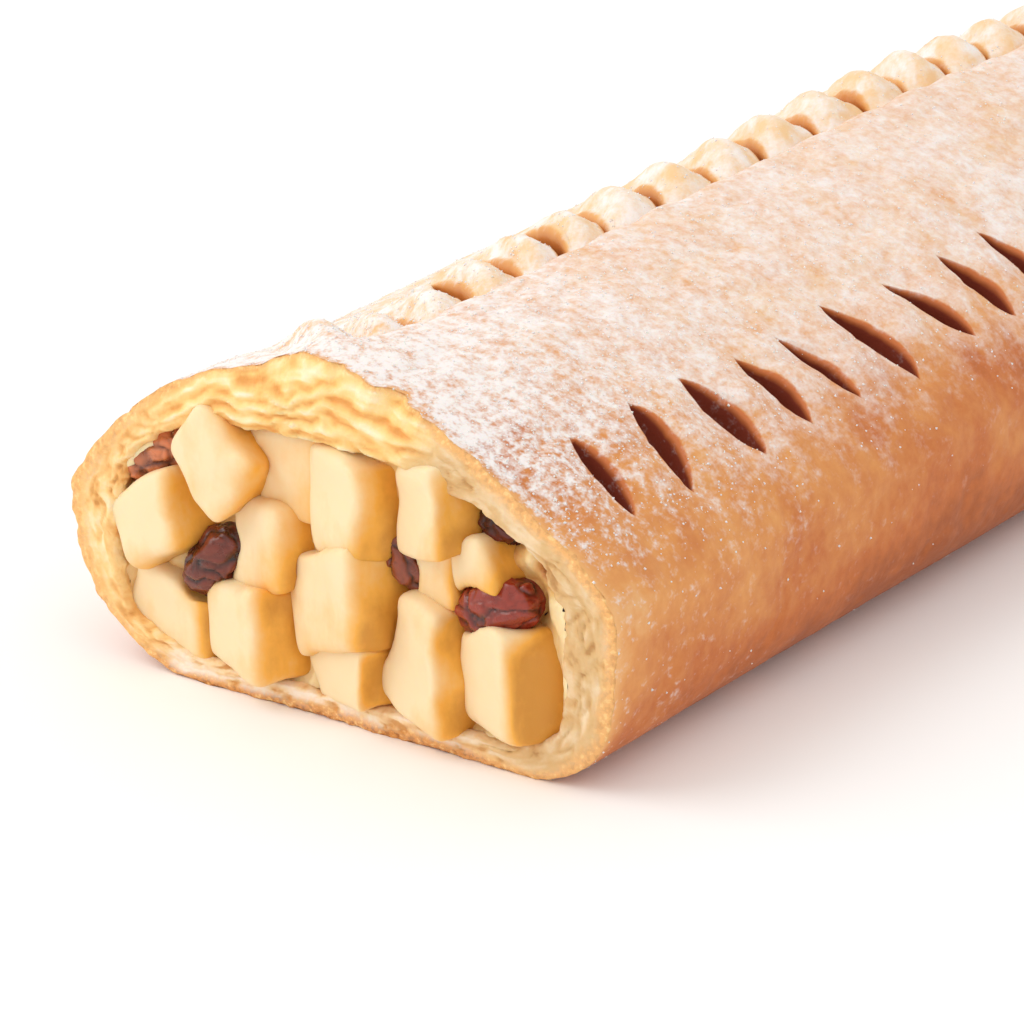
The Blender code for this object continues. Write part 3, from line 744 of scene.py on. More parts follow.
def skin_values(spots, slit_depth, edge):
    """Sugar, browning and edge values for the points of the skin."""
    x, y, z = spots[:, 0], spots[:, 1], spots[:, 2]
    from_cut = y - CUT_Y
    large = layered(spots, 26.0 * MM, 41, 2)
    medium = layered(spots, 8.0 * MM, 43, 3)
    small = layered(spots, 3.0 * MM, 47, 2)
    height = z / ROLL_HEIGHT
    right = smooth_step((x - 8.0 * MM) / (30.0 * MM))
    up = smooth_step((height - DUSTED_FROM) / DUSTED_BLEND)
    near = np.exp(-np.maximum(from_cut, 0.0) / NEAR_CUT)
    sugar = up * (0.56 + 0.30 * near + 0.12 * large + 0.14 * medium)
    bare = bell(from_cut - BARE_FROM_CUT, BARE_LENGTH) * bell(x - BARE_X, BARE_WIDTH)
    sugar -= 0.28 * bare * (1.0 + 0.7 * medium)
    streak = layered(spots * (0.5, 1.6, 0.5), 5.0 * MM, 49, 2)
    lower = smooth_step((height - 0.34) / 0.26) * (1.0 - up)
    sugar += 0.12 * lower * (1.0 + 1.6 * streak)
    left_side = smooth_step((-x - 5.0 * MM) / (5.0 * MM)) * smooth_step(from_cut / (20.0 * MM))
    sugar += left_side * up * (0.42 * small - 0.10)
    sugar = np.clip(sugar, 0.0, 1.0) * (1.0 - smooth_step(slit_depth * 5.0))
    speckle = 0.12 + 0.72 * near + 0.3 * bare
    browning = 0.47 + 0.08 * large + 0.07 * medium
    browning += 0.28 * near * up * (0.5 + 0.5 * right) * (1.0 + 0.4 * small)
    browning += 0.42 * (1.0 - smooth_step((height - 0.04) / 0.46))
    browning += 0.16 * (1.0 - up) * smooth_step((from_cut - 40.0 * MM) / (70.0 * MM))
    browning -= 0.12 * up * (1.0 - near)
    browning -= 0.30 * left_side
    browning -= 0.26 * np.exp(-np.maximum(from_cut, 0.0) / (6.0 * MM)) * (1.0 - up)
    patch = smooth_step(layered(spots, 14.0 * MM, 45, 2) * 1.4)
    browning += 0.22 * patch * smooth_step((height - 0.25) / 0.2) * (1.0 - up)
    sugar *= 1.0 - 0.7 * edge
    return {
        "sugar": sugar,
        "speckle": np.clip(speckle, 0.0, 1.0),
        "browning": np.clip(browning, 0.0, 1.0),
        "slit": slit_depth,
        "edge": edge,
    }


# ---------------------------------------------------------------------------------------------
# The cut
# ---------------------------------------------------------------------------------------------


def rim_relief(at, deep, share, top, side, bottom):
    """How far one ring of the rim stands behind the cut, and how much of it is a crest: partly the dough's
    tone, partly painted shade in pores and cracks and painted light on ridges.
    """
    around = np.stack([at[:, 0], deep, at[:, 1]], axis=1)
    warp = layered(around * (1.0, 0.5, 1.0), 9.0 * MM, 53, 2)
    fibres = layered(around * (0.25, 1.0, 0.25), 1.3 * MM, 55, 2)
    ridge = np.abs(np.mod(deep / LAYER_PITCH + 1.7 * warp, 1.0) - 0.5) * 2.0
    pores = np.clip(layered(around, 2.6 * MM, 57, 3) - 0.12, 0.0, 1.0)
    cracks = np.clip(1.0 - np.abs(layered(around * (0.5, 1.0, 0.5), 4.2 * MM, 63, 2)) * 7.0, 0.0, 1.0)
    cracks *= smooth_step((share - 0.25) / 0.3)
    back = top * (-1.1 * ridge**1.5 - 0.4 * fibres - 0.4 * warp) * MM
    back += side * (0.5 * pores + 0.3 * fibres + 0.4 * cracks) * MM
    back += bottom * (0.6 * pores + 0.3 * fibres) * MM
    leafy = 0.15 + 0.6 * ridge + 0.5 * fibres
    crumbly = 0.6 + 0.35 * fibres - 0.8 * pores - 0.4 * cracks
    crest = top * leafy + side * crumbly + bottom * (0.6 + 0.5 * fibres - pores)
    return back, np.clip(crest, 0.0, 1.0)


def build_rim(shape, material):
    """The dough as it shows at the cut: edge, torn layers, crumb, and the wall of the room behind it."""
    count = int(ROLL.length / RIM_STEP)
    arcs = np.linspace(0.0, ROLL.length, count, endpoint=False)
    front = skin_front(arcs, shape.edge_raggedness)
    outer3 = skin_points(arcs, front)
    normals = ROLL.normal_at(arcs)
    outer = outer3[:, [0, 2]] + normals * skin_relief(outer3, shape.skin_lumps)[:, None]
    angle = np.arctan2(outer[:, 1] - ROLL_MIDDLE[1], outer[:, 0] - ROLL_MIDDLE[0])
    inner = ROOM.at_angle(angle, ROLL_MIDDLE)
    degrees = np.degrees(angle)
    top = sector_share(degrees, LAYERED_TOP)
    bottom = sector_share(degrees, CRUSTY_BOTTOM)
    side = np.clip(1.0 - top - bottom, 0.0, 1.0)
    inward = inner - outer
    thickness = np.linalg.norm(inward, axis=1)
    inward /= thickness[:, None]
    seeds = np.stack([outer[:, 0], outer[:, 1], np.zeros(count)], axis=1)
    ragged = layered(seeds, 4.0 * MM, 51, 3) * (0.5 + 0.7 * side) * MM
    thickness = thickness + ragged

    shares = np.concatenate([[0.0], np.linspace(0.03, 1.0, RIM_RINGS)])
    left = smooth_step((-outer[:, 0] - 24.0 * MM) / (18.0 * MM)) * (1.0 - bottom)
    right = smooth_step((outer[:, 0] - 10.0 * MM) / (20.0 * MM))
    band = 1.2 + 2.6 * left + 1.5 * right + 1.5 * bottom - 0.5 * top
    band *= 1.0 + 0.5 * layered(seeds, 6.0 * MM, 52, 2)
    values = {"depth": [], "top": [], "bottom": [], "inner": [], "crest": [], "band": [], "left": []}
    tucked = np.stack([outer[:, 0], front + 1.2 * MM, outer[:, 1]], axis=1)
    tucked[:, [0, 2]] -= normals * 0.5 * MM
    spots = [tucked]
    recess = front - CUT_Y
    add_values(values, 0.0, top, bottom, 0.0, 0.5, band, left)
    for share in shares:
        at = outer + inward * (thickness * share)[:, None]
        deep = thickness * share
        y, crest = rim_relief(at, deep, share, top, side, bottom)
        start = np.exp(-deep / ((0.6 + 2.6 * top) * MM))
        y = y * (1.0 - start) + recess * start
        y += 1.6 * MM * np.clip((share - 0.86) / 0.14, 0.0, 1.0) ** 2
        y -= 0.5 * MM * top * bell(share - 0.55, 0.25)
        spots.append(np.stack([at[:, 0], CUT_Y + y, at[:, 1]], axis=1))
        add_values(values, deep, top, bottom, 0.0, crest, band, left)
    last = spots[-1]
    for back in ROOM_WALL_RINGS:
        lumps = layered(np.stack([last[:, 0], last[:, 1] + back * MM, last[:, 2]], axis=1), 3.0 * MM, 59, 2)
        out = (0.35 * back**0.5 + 0.5 * lumps) * MM
        ring = last.copy()
        ring[:, 1] = last[:, 1] + back * MM
        ring[:, [0, 2]] -= inward * out[:, None]
        spots.append(ring)
        crest = np.clip(0.5 + 0.5 * lumps, 0.0, 1.0)
        # Painted shade: the inner value turns the wall brown the further back it lies.
        add_values(values, thickness, top, bottom, min(1.0, back / 6.0), crest, band, left)
    faces = ring_faces(len(spots), count, flip=False)
    merged = {}
    for key, rows in values.items():
        merged[key] = np.concatenate([np.broadcast_to(row, count) for row in rows])
    merged["depth"] = merged["depth"] / MM
    points = np.vstack(spots)
    points[:, 2] = np.maximum(points[:, 2], 0.02 * MM)
    return new_piece("cut_rim", points, faces, material, merged)


def add_values(values, *amounts):
    """Note one ring's values."""
    for noted, amount in zip(values.values(), amounts):
        noted.append(amount)


def ring_faces(ring_count, count, flip):
    """Quads between neighbouring closed rings of the same number of points."""
    faces = []
    for ring in range(ring_count - 1):
        for k in range(count):
            after = (k + 1) % count
            quad = (
                ring * count + k,
                ring * count + after,
                (ring + 1) * count + after,
                (ring + 1) * count + k,
            )
            faces.append(quad[::-1] if flip else quad)
    return faces


# ---------------------------------------------------------------------------------------------
# The fruit and the filling
# ---------------------------------------------------------------------------------------------


def solid_surface(names):
    """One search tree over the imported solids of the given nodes."""
    spots = []
    faces = []
    for name in names:
        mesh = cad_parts[name].data
        begin = len(spots)
        spots.extend(vert.co.copy() for vert in mesh.vertices)
        faces.extend([begin + k for k in face.vertices] for face in mesh.polygons)
    return BVHTree.FromPolygons(spots, faces)


def softened_copy(node, voxel, smoothing):
    """Points, normals and faces of a node's solid, remeshed evenly and smoothed."""
    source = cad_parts[node]
    copy = bpy.data.objects.new("softened_" + node, source.data.copy())
    bpy.context.collection.objects.link(copy)
    remesh = copy.modifiers.new("even_mesh", "REMESH")
    remesh.mode = "VOXEL"
    remesh.voxel_size = voxel
    smooth = copy.modifiers.new("soft_edges", "SMOOTH")
    smooth.factor = 0.5
    smooth.iterations = smoothing
    graph = bpy.context.evaluated_depsgraph_get()
    mesh = bpy.data.meshes.new_from_object(copy.evaluated_get(graph))
    spots = np.empty(len(mesh.vertices) * 3)
    mesh.vertices.foreach_get("co", spots)
    normals = np.empty(len(mesh.vertices) * 3)
    mesh.vertices.foreach_get("normal", normals)
    faces = [tuple(face.vertices) for face in mesh.polygons]
    old = copy.data
    bpy.data.objects.remove(copy, do_unlink=True)
    bpy.data.meshes.remove(old)
    bpy.data.meshes.remove(mesh)
    return spots.reshape(-1, 3), normals.reshape(-1, 3), faces


def build_apple(name, shape, material, seed):
    """One piece of apple: its solid a little swollen, with soft edges, bent faces and a golden right side
    that is painted shade.
    """
    spots, normals, faces = softened_copy(name, APPLE_STEP, APPLE_SMOOTHING)
    low, high = (np.array(corner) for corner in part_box(name))
    middle = (low + high) / 2
    half = (high - low) / 2
    random = np.random.default_rng(seed)
    tree = solid_surface([other for other in APPLES + RAISINS if other != name])
    gaps = np.array([tree.find_nearest(Vector(spot))[3] for spot in spots])
    spots = middle + (spots - middle) * (1.0 + np.array(APPLE_SWELLING) / half)
    waves = layered(spots, 7.0 * MM, seed, 2)
    bends = field(spots, 12.0 * MM, seed + 5)
    sway = np.stack([field(spots, 8.0 * MM, 90), 0.0 * gaps, field(spots, 8.0 * MM, 91)], axis=1)
    spots = spots + normals * (shape.apple_unevenness * (waves + 1.6 * bends))[:, None]
    spots = spots + sway * APPLE_SWAY
    local = (spots - middle) / half
    # Painted shade: faces turned to the right go golden, and faces turned up stay paler, as the light falls
    # from the upper left.
    shaded_right_face = smooth_step((normals[:, 0] + 0.05) / 0.85) * (1.0 - 0.3 * smooth_step(normals[:, 2] / 0.8))
    behind = smooth_step((spots[:, 1] - CUT_Y - 1.0 * MM) / (6.0 * MM))
    cooked_and_shade = random.uniform(0.0, 0.24) + random.uniform(0.55, 0.85) * shaded_right_face + 0.2 * behind
    # Painted shade and light: the right half goes more golden and the upper part paler.
    cooked_and_shade += 0.16 * local[:, 0] - 0.10 * local[:, 2]
    cooked_and_shade += 0.34 * layered(spots, 8.0 * MM, seed + 7, 2)
    # Painted shade: some apples take more golden shade on their right side.
    cooked_and_shade += APPLE_SIDE_SHADE.get(name, 0.0) * shaded_right_face
    # Painted shade: the flesh turns golden where other fruit lies close, as shade in the seams between
    # pieces.
    cooked_and_shade = blurred(cooked_and_shade, faces, APPLE_COLOUR_BLUR) + 0.06 + 0.42 * np.exp(-gaps / (1.4 * MM))
    return new_piece(name + "_flesh", spots, faces, material, {"cooked_and_shade": np.clip(cooked_and_shade, 0.0, 1.2)})


def blurred(values, faces, rounds):
    """The values, shared out between neighbours over the four-sided faces."""
    corners = np.array([face for face in faces if len(face) == 4])
    number = corners.ravel()
    weight = np.bincount(number, minlength=len(values))
    for _ in range(rounds):
        middle = np.repeat(values[corners].mean(axis=1), 4)
        total = np.bincount(number, middle, minlength=len(values))
        values = np.where(weight > 0, total / np.maximum(weight, 1), values)
    return values


def build_raisin(name, shape, material, seed):
    """One raisin: its solid drawn into deep wandering wrinkles."""
    spots, normals, faces = softened_copy(name, RAISIN_STEP, RAISIN_SMOOTHING)
    bend = spots + 0.8 * MM * np.stack([field(spots, 3.0 * MM, seed + k) for k in range(3)], axis=1)
    along = bend * (0.6, 1.0, 1.2)
    folds = np.clip(np.abs(field(along, 2.6 * MM, seed + 5)) * 2.6, 0.0, 1.0) ** 0.7
    fine = np.clip(np.abs(field(along, 1.3 * MM, seed + 8)) * 2.4, 0.0, 1.0)
    height = 0.75 * folds + 0.25 * fine
    spots = spots - normals * (shape.raisin_wrinkles * (0.8 - height))[:, None]
    return new_piece(name + "_skin", spots, faces, material, {"crest": height})


def sauce_front(recess):
    """The lumpy front of the filling that climbs the fruit: its points, how much painted shade they take from
    lying deep, near fruit or in a gap, and its faces.
    """
    step = FILLING_STEP
    low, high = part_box("fruit_filling")
    columns = np.arange(low.x - step, high.x + 2 * step, step)
    levels = np.arange(low.z - step, high.z + 2 * step, step)
    apple_tree = solid_surface(APPLES)
    raisin_tree = solid_surface(RAISINS)
    base = CUT_Y + recess
    grid_x, grid_z = np.meshgrid(columns, levels, indexing="ij")
    flat = np.stack([grid_x.ravel(), np.full(grid_x.size, base), grid_z.ravel()], axis=1)
    gaps = np.array([apple_tree.find_nearest(Vector(point))[3] for point in flat])
    berry_gaps = np.array([raisin_tree.find_nearest(Vector(point))[3] for point in flat])
    bulge = 1.9 * MM * smooth_step((gaps - 1.0 * MM) / (3.0 * MM)) * smooth_step(berry_gaps / (3.0 * MM))
    climb = bulge - 1.6 * MM * np.exp(-berry_gaps / (1.6 * MM))
    lumps = layered(flat, 5.0 * MM, 71, 3) * 0.9 * MM
    dark = np.zeros(len(flat))
    # Painted shade: the dark gaps take the darkest tones of the filling.
    for x, z, radius in DARK_GAPS:
        away = np.hypot(flat[:, 0] - x * MM, flat[:, 2] - z * MM)
        dark = np.maximum(dark, bell(away + 0.4 * lumps, radius * MM))
    climb *= 1.0 - dark
    offset = np.array([room_gap(x, z) for x, z in flat[:, [0, 2]]])
    wall = 1.4 * MM * np.exp(-np.maximum(offset, 0.0) / (1.6 * MM)) * (1.0 - dark)
    flat[:, 1] = base - climb - wall + lumps + DARK_GAP_DEPTH * dark
    kept = (offset > -1.2 * MM).reshape(grid_x.shape)
    number = np.full(len(flat), -1)
    used = []
    faces = []
    place = np.arange(len(flat)).reshape(grid_x.shape)
    for i, j in itertools.product(range(len(columns) - 1), range(len(levels) - 1)):
        if not kept[i : i + 2, j : j + 2].all():
            continue
        corners = (place[i, j], place[i + 1, j], place[i + 1, j + 1], place[i, j + 1])
        for corner in corners:
            if number[corner] < 0:
                number[corner] = len(used)
                used.append(corner)
        faces.append(tuple(int(number[corner]) for corner in corners))
    front = flat[used]
    # Painted shade: darker where the front lies further back and in the seams by the fruit.
    hollow_shade = np.clip((front[:, 1] - CUT_Y) / recess - 0.4, 0.0, 1.0)
    seam_shade = np.exp(-np.minimum(gaps, berry_gaps)[used] / (1.1 * MM))
    return front, np.clip(0.12 * hollow_shade + 0.30 * seam_shade + dark[used], 0.0, 1.0), faces


def sauce_rings(count, start):
    """Rings of the filling's plain body, from behind its front to the closed far end."""
    arcs = np.linspace(0.0, ROOM.length, count, endpoint=False)
    line = ROOM.at(arcs) - ROOM.normal_at(arcs) * 0.6 * MM
    centre = np.array([0.0, END_TUCK_Z])
    end_y = FAR_Y - 12.0 * MM
    rings = []
    for y in [*np.linspace(start, end_y - END_ROUNDING, 10), end_y - 12.0 * MM, end_y]:
        over = np.clip((y - (end_y - END_ROUNDING)) / END_ROUNDING, 0.0, 0.97)
        share = (1.0 - over**END_SQUARENESS) ** (1.0 / END_SQUARENESS)
        ring = centre + (line - centre) * share
        rings.append(np.stack([ring[:, 0], np.full(count, y), ring[:, 1]], axis=1))
    return rings


def build_sauce(shape, material):
    """The soft filling between the fruit: a lumpy front, and a plain body behind it."""
    front, depth, faces = sauce_front(shape.sauce_recess)
    count = FILLING_RING_POINTS
    rings = sauce_rings(count, CUT_Y + shape.sauce_recess + 2.0 * MM)
    begin = len(front)
    for face in ring_faces(len(rings), count, flip=True):
        faces.append(tuple(begin + k for k in face))
    faces.append(tuple(begin + (len(rings) - 1) * count + k for k in range(count)))
    faces.append(tuple(begin + k for k in reversed(range(count))))
    # The plain body behind takes the darkest painted shade.
    values = {"depth": np.concatenate([depth, np.ones(len(rings) * count)])}
    return new_piece("sauce", np.vstack([front] + rings), faces, material, values)


def room_gap(x, z):
    """Distance from a point to the room's outline, negative outside it."""
    gaps = np.hypot(ROOM.points[::8, 0] - x, ROOM.points[::8, 1] - z)
    near = int(np.argmin(gaps)) * 8
    point = ROOM.points[near]
    normal = ROOM.normals[near]
    inside = (x - point[0]) * normal[0] + (z - point[1]) * normal[1] < 0.0
    return gaps.min() if inside else -gaps.min()


# ---------------------------------------------------------------------------------------------
# Sugar
# ---------------------------------------------------------------------------------------------


def build_grains(shape, skin, material):
    """Loose clumps of icing sugar scattered over the dusted skin."""
    mesh = skin.data
    spots = np.empty(len(mesh.vertices) * 3)
    mesh.vertices.foreach_get("co", spots)
    spots = spots.reshape(-1, 3)
    sugar = np.empty(len(mesh.vertices))
    mesh.attributes["sugar"].data.foreach_get("value", sugar)
    mesh.calc_loop_triangles()
    corners = np.empty(len(mesh.loop_triangles) * 3, dtype=np.int64)
    mesh.loop_triangles.foreach_get("vertices", corners)
    corners = corners.reshape(-1, 3)
    a, b, c = (spots[corners[:, k]] for k in range(3))
    cross = np.cross(b - a, c - a)
    area = np.linalg.norm(cross, axis=1) / 2
    middle = (a + b + c) / 3
    amount = sugar[corners].mean(axis=1)
    from_cut = middle[:, 1] - CUT_Y
    part_covered = bell(amount - 0.5, 0.28)
    weight = area * (part_covered + 0.003 * (middle[:, 2] > 20.0 * MM))
    weight *= 0.15 + 1.5 * np.exp(-np.maximum(from_cut, 0.0) / CLUMPS_NEAR_CUT)
    weight *= middle[:, 2] > CLUMPS_ABOVE
    random = np.random.default_rng(81)
    count = shape.grain_count
    chosen = random.choice(len(area), size=count, p=weight / weight.sum())
    u, v = random.random((2, count))
    fold = u + v > 1.0
    u = np.where(fold, 1.0 - u, u)
    v = np.where(fold, 1.0 - v, v)
    at = a[chosen] + (b - a)[chosen] * u[:, None] + (c - a)[chosen] * v[:, None]
    normal = cross[chosen] / (2.0 * area[chosen][:, None] + 1e-15)
    size = shape.grain_size * random.uniform(0.35, 1.0, count) ** 1.6
    octahedron = np.array([[1, 0, 0], [-1, 0, 0], [0, 1, 0], [0, -1, 0], [0, 0, 1], [0, 0, -1]], dtype=float)
    sides = np.array([[0, 2, 4], [2, 1, 4], [1, 3, 4], [3, 0, 4], [2, 0, 5], [1, 2, 5], [3, 1, 5], [0, 3, 5]])
    turn = random.normal(size=(count, 3, 3))
    axes, _ = np.linalg.qr(turn)
    axes *= np.sign(np.linalg.det(axes))[:, None, None]
    stretch = random.uniform(0.6, 1.25, (count, 6, 1))
    local = octahedron[None] * stretch * size[:, None, None]
    points = np.einsum("nij,nkj->nki", axes, local) + (at + normal * (size * 0.05)[:, None])[:, None, :]
    faces = (sides[None] + 6 * np.arange(count)[:, None, None]).reshape(-1, 3)
    return new_piece("sugar_grains", points.reshape(-1, 3), faces.tolist(), material, {})


# ---------------------------------------------------------------------------------------------
# Materials
# ---------------------------------------------------------------------------------------------


# Shades of the torn layers, the crumb, the folds at the left, the strip above the sole and the crust
# at the cut, of the left row's slits, and of the filling.
# The hollow tones are darker and the crest tones paler along the relief: partly the dough's own tone, partly
# painted shade in hollows and painted light on crests.
FLAKE_HOLLOW = srgb(232, 162, 88)
FLAKE_SLOPE = srgb(248, 200, 124)
FLAKE_CREST = srgb(255, 241, 208)
CRUMB_HOLLOW = srgb(196, 148, 94)
CRUMB_SLOPE = srgb(218, 176, 120)
CRUMB_CREST = srgb(240, 214, 176)
FOLD_HOLLOW = srgb(210, 146, 80)
FOLD_SLOPE = srgb(236, 178, 106)
FOLD_FACE = srgb(250, 210, 144)
FOLD_CREST = srgb(253, 232, 192)
SOLE_HOLLOW = srgb(214, 156, 96)
SOLE_FACE = srgb(242, 208, 160)
SOLE_CREST = srgb(250, 232, 212)
SOLE_CRUST = srgb(222, 150, 80)
BROWN_GRAIN = srgb(168, 102, 52)
PALE_GRAIN = srgb(254, 212, 146)
# Painted shade on the wall of the room behind the cut.
ROOM_WALL_SHADE = srgb(168, 92, 46)
# Painted shade: the left row's slit lining darkens from the amber lip down to the floor.
AMBER_LIP = srgb(238, 184, 108)
AMBER_WALL = srgb(208, 130, 62)
AMBER_FLOOR = srgb(160, 78, 36)
# Painted shade: the seam tone and the two gap tones darken the filling in seams, deeper back and in the dark
# gaps.
PULP_CREST = srgb(253, 228, 178)
PULP_SEAM_SHADE = srgb(222, 152, 78)
GAP_SHADE_BROWN = srgb(128, 58, 34)
GAP_SHADE_DARK = srgb(66, 22, 20)

# Each raisin's folds, darkened as painted shade, its crests and its gloss.
RAISIN_TONES = {
    "raisin_01": (srgb(104, 52, 34), srgb(182, 106, 66), 0.12),
    "raisin_02": (srgb(36, 10, 8), srgb(100, 36, 18), 0.32),
    "raisin_03": (srgb(50, 18, 14), srgb(124, 58, 34), 0.3),
    "raisin_04": (srgb(60, 16, 12), srgb(128, 40, 22), 0.4),
    "raisin_05": (srgb(40, 10, 8), srgb(84, 24, 12), 0.22),
}


class Finish:
    """A material being put together from nodes."""

    def __init__(
        self, name, roughness=0.5, specular=0.5, subsurface=0.0, radius=(1.0, 0.4, 0.15), scale=0.002
    ):
        self.material = bpy.data.materials.new(name)
        self.material.use_nodes = True
        self.tree = self.material.node_tree
        self.shader = self.tree.nodes["Principled BSDF"]
        self.shader.inputs["Roughness"].default_value = roughness
        self.shader.inputs["Specular IOR Level"].default_value = specular
        self.shader.inputs["Subsurface Weight"].default_value = subsurface
        self.shader.inputs["Subsurface Radius"].default_value = radius
        self.shader.inputs["Subsurface Scale"].default_value = scale
        self.place = self.add("ShaderNodeTexCoord").outputs["Object"]

    def add(self, kind, inputs=None, **settings):
        """One node; an input that is a socket is linked, any other is set."""
        made = self.tree.nodes.new(kind)
        made.location = (-200.0 * (len(self.tree.nodes) % 8) - 300.0, -220.0 * (len(self.tree.nodes) // 8))
        for key, value in settings.items():
            setattr(made, key, value)
        for key, value in (inputs or {}).items():
            self.put(value, made.inputs[key])
        return made

    def put(self, value, socket):
        """Link or set one socket."""
        if isinstance(value, bpy.types.NodeSocket):
            self.tree.links.new(value, socket)
        elif isinstance(value, tuple) and len(value) == 3 and socket.type == "RGBA":
            socket.default_value = (*value, 1.0)
        else:
            socket.default_value = value

    def value(self, name):
        """A named point value of the mesh."""
        return self.add("ShaderNodeAttribute", attribute_name=name).outputs["Fac"]

    def noise(self, size, detail=3.0, stretch=(1.0, 1.0, 1.0), roughness=0.55, distortion=0.0):
        """Noise with bumps of about the given size in metres."""
        where = self.add("ShaderNodeMapping", {"Vector": self.place, "Scale": stretch}).outputs["Vector"]
        inputs = {
            "Vector": where,
            "Scale": 0.5 / size,
            "Detail": detail,
            "Roughness": roughness,
            "Distortion": distortion,
        }
        return self.add("ShaderNodeTexNoise", inputs).outputs["Fac"]

    def maths(self, operation, first, second=0.0, third=0.0):
        """One sum on values."""
        made = self.add("ShaderNodeMath", {0: first, 1: second, 2: third}, operation=operation)
        return made.outputs[0]

    def varied(self, value, noise, amount):
        """A value moved up and down by a noise."""
        return self.maths("MULTIPLY_ADD", self.maths("SUBTRACT", noise, 0.5), amount, value)

    def span(self, value, low, high, new_low=0.0, new_high=1.0):
        """A value moved from one range to another, smoothly and held at its ends."""
        inputs = {"Value": value, "From Min": low, "From Max": high, "To Min": new_low, "To Max": new_high}
        return self.add("ShaderNodeMapRange", inputs, interpolation_type="SMOOTHSTEP").outputs["Result"]

    def mix(self, share, first, second, blend="MIX"):
        """One colour laid over another by a share."""
        made = self.add("ShaderNodeMix", data_type="RGBA", blend_type=blend)
        self.put(share, made.inputs[0])
        self.put(first, made.inputs[6])
        self.put(second, made.inputs[7])
        return made.outputs[2]

    def ramp(self, value, stops):
        """Colours along a value."""
        made = self.add("ShaderNodeValToRGB", {"Fac": value})
        elements = made.color_ramp.elements
        while len(elements) < len(stops):
            elements.new(0.5)
        for element, (place, colour) in zip(elements, stops):
            element.position = place
            element.color = (*colour, 1.0)
        return made.outputs["Color"]

    def bump(self, height, distance, strength=1.0, under=None):
        """Relief from a value."""
        inputs = {"Height": height, "Distance": distance, "Strength": strength}
        if under is not None:
            inputs["Normal"] = under
        return self.add("ShaderNodeBump", inputs).outputs["Normal"]

    def finish(self, colour, roughness=None, normal=None):
        """Join the results to the shader."""
        self.put(colour, self.shader.inputs["Base Color"])
        if roughness is not None:
            self.put(roughness, self.shader.inputs["Roughness"])
        if normal is not None:
            self.put(normal, self.shader.inputs["Normal"])
        return self.material


def darker(colour, share):
    """The colour, darkened towards a warm brown."""
    return tuple(c * (1.0 - share * k) for c, k in zip(colour, (0.8, 1.0, 1.15)))


def sugared_dough(colours):
    """Baked skin, golden to brown, under dusted sugar, with stained slits."""
    f = Finish("sugared_dough", specular=0.3, subsurface=0.06, scale=0.0012)
    browning = f.value("browning")
    blotches = f.noise(0.005, 4.0)
    freckles = f.noise(0.0012, 3.0)
    shade = f.varied(browning, blotches, 0.42)
    shade = f.varied(shade, freckles, 0.32)
    pale, golden, brown = (tuple(c) for c in (colours.pale_dough, colours.golden_dough, colours.brown_dough))
    dough = f.ramp(shade, ((0.1, pale), (0.42, golden), (0.78, brown), (1.0, darker(brown, 0.4))))
    dough = f.mix(f.maths("MULTIPLY", f.value("edge"), 0.8), dough, tuple(colours.crust_edge))
    slit = f.value("slit")
    stain_and_shade = f.varied(slit, blotches, 0.3)
    inside = tuple(colours.slit_inside)
    rim = tuple(colours.slit_rim)
    # Painted shade: the stained lining darkens from the orange lip down to the floor.
    lining = f.ramp(stain_and_shade, ((0.0, rim), (0.16, rim), (0.36, inside), (1.0, darker(inside, 0.3))))
    amber_shade = f.ramp(stain_and_shade, ((0.0, AMBER_LIP), (0.25, AMBER_WALL), (0.7, AMBER_FLOOR)))
    lining = f.mix(f.value("amber_shade"), lining, amber_shade)
    dough = f.mix(f.span(slit, 0.0, 0.14), dough, lining)
    dust = f.value("sugar")
    speckle = f.value("speckle")
    specks = f.noise(0.0009, 2.5, (1.0, 0.85, 1.0), 0.75)
    clouds = f.noise(0.0032, 3.0)
    specked = f.maths("SUBTRACT", specks, 0.5)
    strength = f.maths("MULTIPLY_ADD", speckle, 2.1, 0.45)
    cover = f.maths("ADD", dust, f.maths("MULTIPLY", specked, strength))
    cover = f.varied(cover, clouds, 0.55)
    cover = f.span(cover, 0.06, 0.96, 0.0, 0.97)
    surface = f.mix(cover, dough, tuple(colours.sugar))
    rough = f.maths("SUBTRACT", f.span(cover, 0.0, 1.0, 0.48, 0.85), f.span(slit, 0.2, 0.8, 0.0, 0.16))
    normal = f.bump(f.noise(0.0018, 4.0), 0.0004, 0.45)
    normal = f.bump(cover, 0.00025, 0.7, normal)
    return f.finish(surface, rough, normal)


